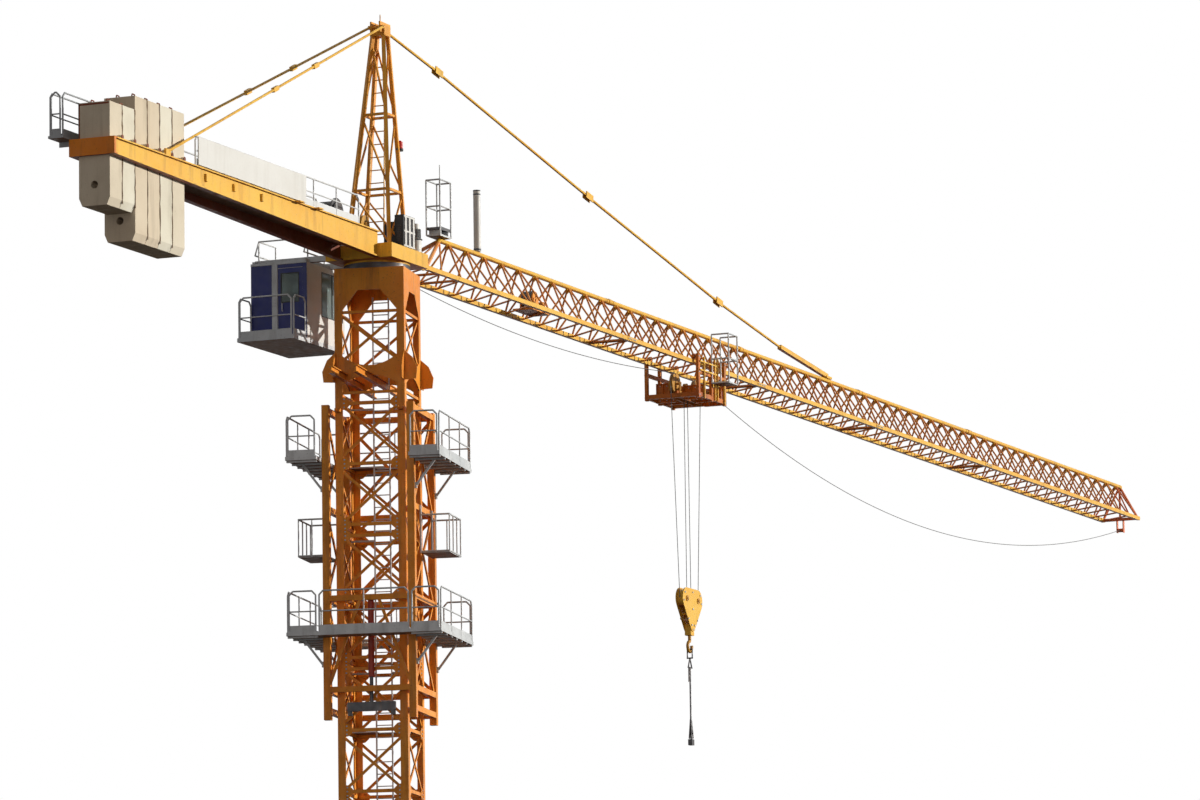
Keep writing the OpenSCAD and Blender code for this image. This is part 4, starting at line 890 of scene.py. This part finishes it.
def slingTail(v, low, high):
    x, y = (low[0] + high[0]) / 2, (low[1] + high[1]) / 2
    tubes = []
    for k in range(v["chains"]):
        angle = 2 * math.pi * k / v["chains"]
        foot, top = ((x + reach * math.cos(angle), y + reach * math.sin(angle), low[2] + rise)
                     for reach, rise in (v["foot"], v["top"]))
        tubes.append((foot, top, v["radius"], v["sides"]))
    tubePiece("slingTail", "darkSteel", tubes, "hook")


slingTail(tail, *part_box("sling"))
print("hook block dressed")

# cab: all its trim is measured from its near lower corner at the rear
cab = {"corner": (-0.400, 0.770, jibZ - 0.950), "wide": 0.770, "sunk": 0.0005}
rearWall = {"proud": 0.004, "panels": ((0.002, 0.058, 0.02, 0.95), (0.060, 0.400, 0.905, 0.95),
                                       (0.480, 0.766, 0.02, 0.95))}
post = {"proud": 0.014, "y": (0.404, 0.476), "z": (0.002, 0.955)}
eaves = {"proud": 0.012, "end": 0.002, "z": (0.952, 0.982)}
rubber = {"bar": 0.012, "rear": (0.12, 0.35, 0.48, 0.83), "side": (0.43, 1.02, 0.34, 0.88), "mullion": 0.72,
          "rearX": (-0.002, 0.004), "nearY": (-0.003, 0.002), "farY": (-0.002, -0.0002)}
handle = {"y": 0.335, "z": (0.36, 0.46), "reach": 0.020, "sunk": 0.004, "grip": 0.006, "stay": 0.005}
seat = {"parts": (((0.42, 0.26, 0.03), (0.64, 0.50, 0.20)), ((0.38, 0.24, 0.20), (0.66, 0.52, 0.27)),
                  ((0.36, 0.25, 0.27), (0.43, 0.51, 0.66)), ((0.46, 0.16, 0.03), (0.70, 0.23, 0.36)),
                  ((0.46, 0.54, 0.03), (0.70, 0.61, 0.36)))}
roofRail = {"sides": (0.05, 0.72), "front": 0.02, "end": 0.62, "posts": (0.13, 0.61), "foot": 1.008,
            "low": 1.092, "top": 1.282, "lowTube": 0.011, "tube": 0.010, "slopeTube": 0.009}


def inCab(x, y, z):
    return tuple(a + b for a, b in zip(cab["corner"], (x, y, z)))


def cabBoxes(name, mat, boxes):
    boxPiece(name, mat, [(inCab(*low), inCab(*high)) for low, high in boxes])


def cabTubes(name, mat, tubes):
    tubePiece(name, mat, [(inCab(*start), inCab(*end), radius, 8) for start, end, radius in tubes])


def rearPanels(w, p, e):
    cabBoxes("cabBlueWall", "bluePaint", [((-w["proud"], y0, z0), (cab["sunk"], y1, z1))
                                          for y0, y1, z0, z1 in w["panels"]])
    cabBoxes("cabPost", "galvanised", [
        ((-p["proud"], p["y"][0], p["z"][0]), (cab["sunk"], p["y"][1], p["z"][1])),
        ((-e["proud"], e["end"], e["z"][0]), (cab["sunk"], cab["wide"] - e["end"], e["z"][1]))])


# four bars round an opening, given as its two sides, its sill and its head
def barsAround(bar, left, right, sill, top):
    return [(left - bar, left, sill - bar, top + bar), (right, right + bar, sill - bar, top + bar),
            (left, right, sill - bar, sill), (left, right, top, top + bar)]


def windowRubbers(r):
    (rear0, rear1), bar = r["rearX"], r["bar"]
    boxes = [((rear0, y0, z0), (rear1, y1, z1)) for y0, y1, z0, z1 in barsAround(bar, *r["rear"])]
    sideBars = barsAround(bar, *r["side"]) + [(r["mullion"], r["mullion"] + bar, *r["side"][2:])]
    for wall, (y0, y1) in ((0, r["nearY"]), (cab["wide"], r["farY"])):
        boxes += [((x0, wall + y0, z0), (x1, wall + y1, z1)) for x0, x1, z0, z1 in sideBars]
    cabBoxes("windowRubbers", "blackPaint", boxes)


def doorHandle(h):
    low, high = h["z"]
    grip = ((-h["reach"], h["y"], low), (-h["reach"], h["y"], high), h["grip"])
    stays = [((-h["reach"], h["y"], z), (h["sunk"], h["y"], z), h["stay"])
             for z in (low + h["stay"], high - h["stay"])]
    cabTubes("doorHandle", "paleRail", [grip, *stays])


def cabRoofRails(r):
    tubes = []
    post0, post1 = r["posts"]
    for y in r["sides"]:
        tubes.append(((r["front"], y, r["low"]), (r["end"], y, r["low"]), r["lowTube"]))
        tubes += [((x, y, r["foot"]), (x, y, r["top"]), r["tube"]) for x in r["posts"]]
        tubes.append(((r["front"], y, r["low"]), (post0, y, r["top"]), r["slopeTube"]))
        tubes.append(((post0, y, r["top"]), (post1, y, r["top"]), r["tube"]))
    tubes.append(((post0, r["sides"][0], r["top"]), (post0, r["sides"][1], r["top"]), r["tube"]))
    cabTubes("cabRoofRails", "paleRail", tubes)


rearPanels(rearWall, post, eaves)
windowRubbers(rubber)
doorHandle(handle)
cabBoxes("cabSeat", "blackPaint", seat["parts"])
cabRoofRails(roofRail)
print("cab dressed")

# laid wire ropes in place of the part's hoist falls and trolley ropes
rope = {"radius": 0.005, "lobes": 4, "lobeShare": 0.20, "sides": 12, "lay": 0.09, "step": 0.030}
# each fall as its distance from the middle at the trolley and at the hook block
fall = {"sheave": jibZ - 0.250, "block": blockTop - 0.150, "reaches": ((0.5357, 0.3257), (0.0607, 0.0743))}
# a carried rope as x and z of both ends, with its sag
innerLine = {"start": (0.8103, jibZ - 0.120), "end": (9.63586, jibZ - 0.09464), "sag": 0.200}
outerLine = {"start": (10.44403, jibZ - 0.09776), "end": (28.5397, jibZ - 0.150), "sag": 1.010}
bendZ = jibZ - 0.12


def layRope(bm, r, points):
    rings = []
    run = 0.0
    for k, point in enumerate(points):
        ahead = (points[min(k + 1, len(points) - 1)] - points[max(k - 1, 0)]).normalized()
        side = ahead.cross(Vector((0, 1, 0))).normalized()
        run += (point - points[k - 1]).length if k else 0.0
        twist = 2 * math.pi * run / r["lay"]
        angles = [2 * math.pi * i / r["sides"] - twist for i in range(r["sides"])]
        reaches = [r["radius"] * (1 - r["lobeShare"] + r["lobeShare"] * abs(math.cos(r["lobes"] / 2 * a)))
                   for a in angles]
        rings.append(ringAround(bm, point, side, ahead.cross(side), reaches))
    joinRings(bm, rings)


def sagPath(r, start, end, sag):
    (x0, z0), (x1, z1) = start, end
    count = max(2, round(math.hypot(x1 - x0, z1 - z0) / r["step"]))
    shares = [k / count for k in range(count + 1)]
    return [Vector((x0 + (x1 - x0) * t, 0, z0 + (z1 - z0) * t - 4 * sag * t * (1 - t))) for t in shares]


def ropePiece(r, name, node, paths, upper, lower, start, end):
    bm = bmesh.new()
    for path in paths:
        layRope(bm, r, sagPath(r, *path))
    piece = finishPiece(name, bm, "wireRope", None)
    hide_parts(node)
    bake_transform(piece)


def layRopes(r, f, inner, outer):
    falls = [((trolleyX + sign * top, f["sheave"]), (trolleyX + sign * low, f["block"]), 0.0)
             for sign in (-1, 1) for top, low in f["reaches"]]
    ropePiece(r, "hoistRopes", "hoist_falls", falls, "trolley", "hook_block",
              (trolleyX, 0, f["sheave"]), (trolleyX, 0, f["block"]))
    innerEnds, outerEnds = ([(v["start"][0], 0, bendZ), (v["end"][0], 0, bendZ)] for v in (inner, outer))
    ropePiece(r, "innerRope", "inner_rope", [inner.values()], "slewing", "trolley", *innerEnds)
    ropePiece(r, "outerRope", "outer_rope", [outer.values()], "slewing", "trolley", *reversed(outerEnds))


layRopes(rope, fall, innerLine, outerLine)
print("ropes laid")

# ballast: six slabs, two short and four tall, as foot and top above the underside of the jib
ballast = {"start": -7.614, "step": 0.316, "thick": 0.308, "half": 0.197, "count": 6, "shortCount": 2,
           "short": (-0.43, 0.715), "tall": (-0.75, 0.880), "beamTop": 0.292, "beamY": 0.290}
liftLoop = {"y": 0.10, "foot": 0.05, "head": 0.03, "rise": 0.05, "wire": 0.008, "sides": 6}
hangPin = {"outer": 0.006, "inner": 0.012, "rise": 0.022, "radius": 0.026, "sides": 12}
hangPlate = {"half": 0.045, "y": 0.245, "wide": 0.016, "tall": 0.014}
slabJoint = {"seed": 5, "points": 24, "gap": 0.008, "left": 0.016, "right": 0.014, "thick": 0.003}
edgeIron = {"proud": 0.003, "thick": 0.006, "strip": 0.014, "foot": 0.01, "top": 0.010, "bar": 0.030,
            "barEnd": 0.012}


def slabSpan(b, k):
    return b["short"] if k < b["shortCount"] else b["tall"]


# lifting loops on the slabs, and the pins and plates that hang them on the beams
def ballastIron(b, v, p, h):
    bm = bmesh.new()
    beam = jibZ + b["beamTop"]
    for k in range(b["count"]):
        top = jibZ + slabSpan(b, k)[1]
        x = b["start"] + k * b["step"] + b["thick"] / 2
        for sign in (-1, 1):
            y = sign * v["y"]
            bends = [(x - v["foot"], y, top), (x - v["head"], y, top + v["rise"]),
                     (x + v["head"], y, top + v["rise"]), (x + v["foot"], y, top)]
            for start, end in zip(bends, bends[1:]):
                addTube(bm, start, end, v["wire"], v["sides"])
            ends = [(x, sign * (b["beamY"] - p[face]), beam + p["rise"]) for face in ("inner", "outer")]
            addTube(bm, *ends, p["radius"], p["sides"])
            y = sign * h["y"]
            addBox(bm, (x - h["half"], y - h["wide"], beam), (x + h["half"], y + h["wide"], beam + h["tall"]))
    finishPiece("ballastIron", bm, "rustIron")


# broken edges and dirt along the joints between the slabs
def slabJoints(b, v):
    bm = bmesh.new()
    draw = random.Random(v["seed"])
    for k in range(b["count"] - 1):
        low, high = slabSpan(b, k)
        x = b["start"] + k * b["step"] + b["thick"]
        heights = [jibZ + low + (high - low) * i / v["points"] for i in range(v["points"] + 1)]
        for sign in (-1, 1):
            left = [(x - draw.uniform(0.0, v["left"]), z) for z in heights]
            right = [(x + v["gap"] + draw.uniform(0.0, v["right"]), z) for z in reversed(heights)]
            face = sign * b["half"] - v["thick"] / 2
            turn = Matrix(((1, 0, 0, 0), (0, 0, 1, face), (0, 1, 0, 0), (0, 0, 0, 1)))
            addPlate(bm, left + right, v["thick"], turn)
    finishPiece("slabJoints", bm, "jointDirt")


# steel strip and bar on the outer face of the first slab
def slabEdgeIron(b, e):
    top, x = jibZ + b["short"][1], b["start"] - e["proud"]
    corner = x + e["thick"], b["half"], top - e["top"]
    strip = x, b["half"] - e["strip"], jibZ + b["beamTop"] + e["foot"]
    bar = x, e["barEnd"] - b["half"], top - e["bar"]
    boxPiece("slabEdgeIron", "rustIron", [(strip, corner), (bar, corner)])


ballastIron(ballast, liftLoop, hangPin, hangPlate)
slabJoints(ballast, slabJoint)
slabEdgeIron(ballast, edgeIron)
print("ballast dressed")

# plain white sky to the camera, and a soft grey one to the object
sky = {"tone": 0.80, "strength": 0.13}
# suns: the way their light runs, strength, width in degrees and colour
keyLight = {"runs": (-0.58, 1.0, -0.21), "strength": 3.5, "angle": 1, "colour": (1.0, 0.96, 0.88)}
fillLight = {"runs": (1.0, 0.2, -0.1), "strength": 0.30, "angle": 40, "colour": (1.0, 0.82, 0.70)}
ground = {"half": 60.0, "z": -0.002, "pattern": (0.4, 3), "span": (0.3, 0.7), "pale": (0.90, 0.95),
          "bounce": 0.22, "glow": 0.42, "rough": 0.9}


def buildWorld(s):
    world = bpy.data.worlds.new("world")
    bpy.context.scene.world = world
    world.use_nodes = True
    tree = world.node_tree
    rays = tree.nodes.new("ShaderNodeLightPath").outputs
    seen = maths(tree, "MAXIMUM", rays["Is Camera Ray"], rays["Is Glossy Ray"])
    seen = maths(tree, "MAXIMUM", seen, rays["Is Transmission Ray"])
    colour = mixColour(tree, seen, grey(s["tone"] * s["strength"]), grey(1.0))
    feed(tree, tree.nodes["Background"], {"Color": colour, "Strength": 1.0})


def addSun(name, v):
    data = bpy.data.lights.new(name, "SUN")
    data.energy = v["strength"]
    data.angle = math.radians(v["angle"])
    data.color = v["colour"]
    addObject(name, data).rotation_euler = Vector(v["runs"]).to_track_quat("-Z", "Y").to_euler()


def floorMaterial(name, g):
    tree, shader = newMaterial(name)
    pale = spread(tree, g["pattern"], g["span"], *(grey(v) for v in g["pale"]))
    seen = tree.nodes.new("ShaderNodeLightPath").outputs["Is Camera Ray"]
    colour = mixColour(tree, seen, grey(g["bounce"]), pale)
    glow = maths(tree, "MULTIPLY", seen, g["glow"])  # for the camera alone, so the floor stays pale
    feed(tree, shader, {"Base Color": colour, "Roughness": g["rough"], "Emission Color": pale,
                        "Emission Strength": glow})


def addFloor(g):
    bm = bmesh.new()
    size = g["half"]
    corners = ((-size, -size), (size, -size), (size, size), (-size, size))
    bm.faces.new([bm.verts.new((x, y, g["z"])) for x, y in corners])
    mesh = bpy.data.meshes.new("floor")
    bm.to_mesh(mesh)
    bm.free()
    mesh.materials.append(made["floorPale"])
    addObject("floor", mesh)


buildWorld(sky)
addSun("keyLight", keyLight)
addSun("fillLight", fillLight)
floorMaterial("floorPale", ground)
addFloor(ground)
bpy.context.scene.view_settings.view_transform = "Standard"
print("light placed")
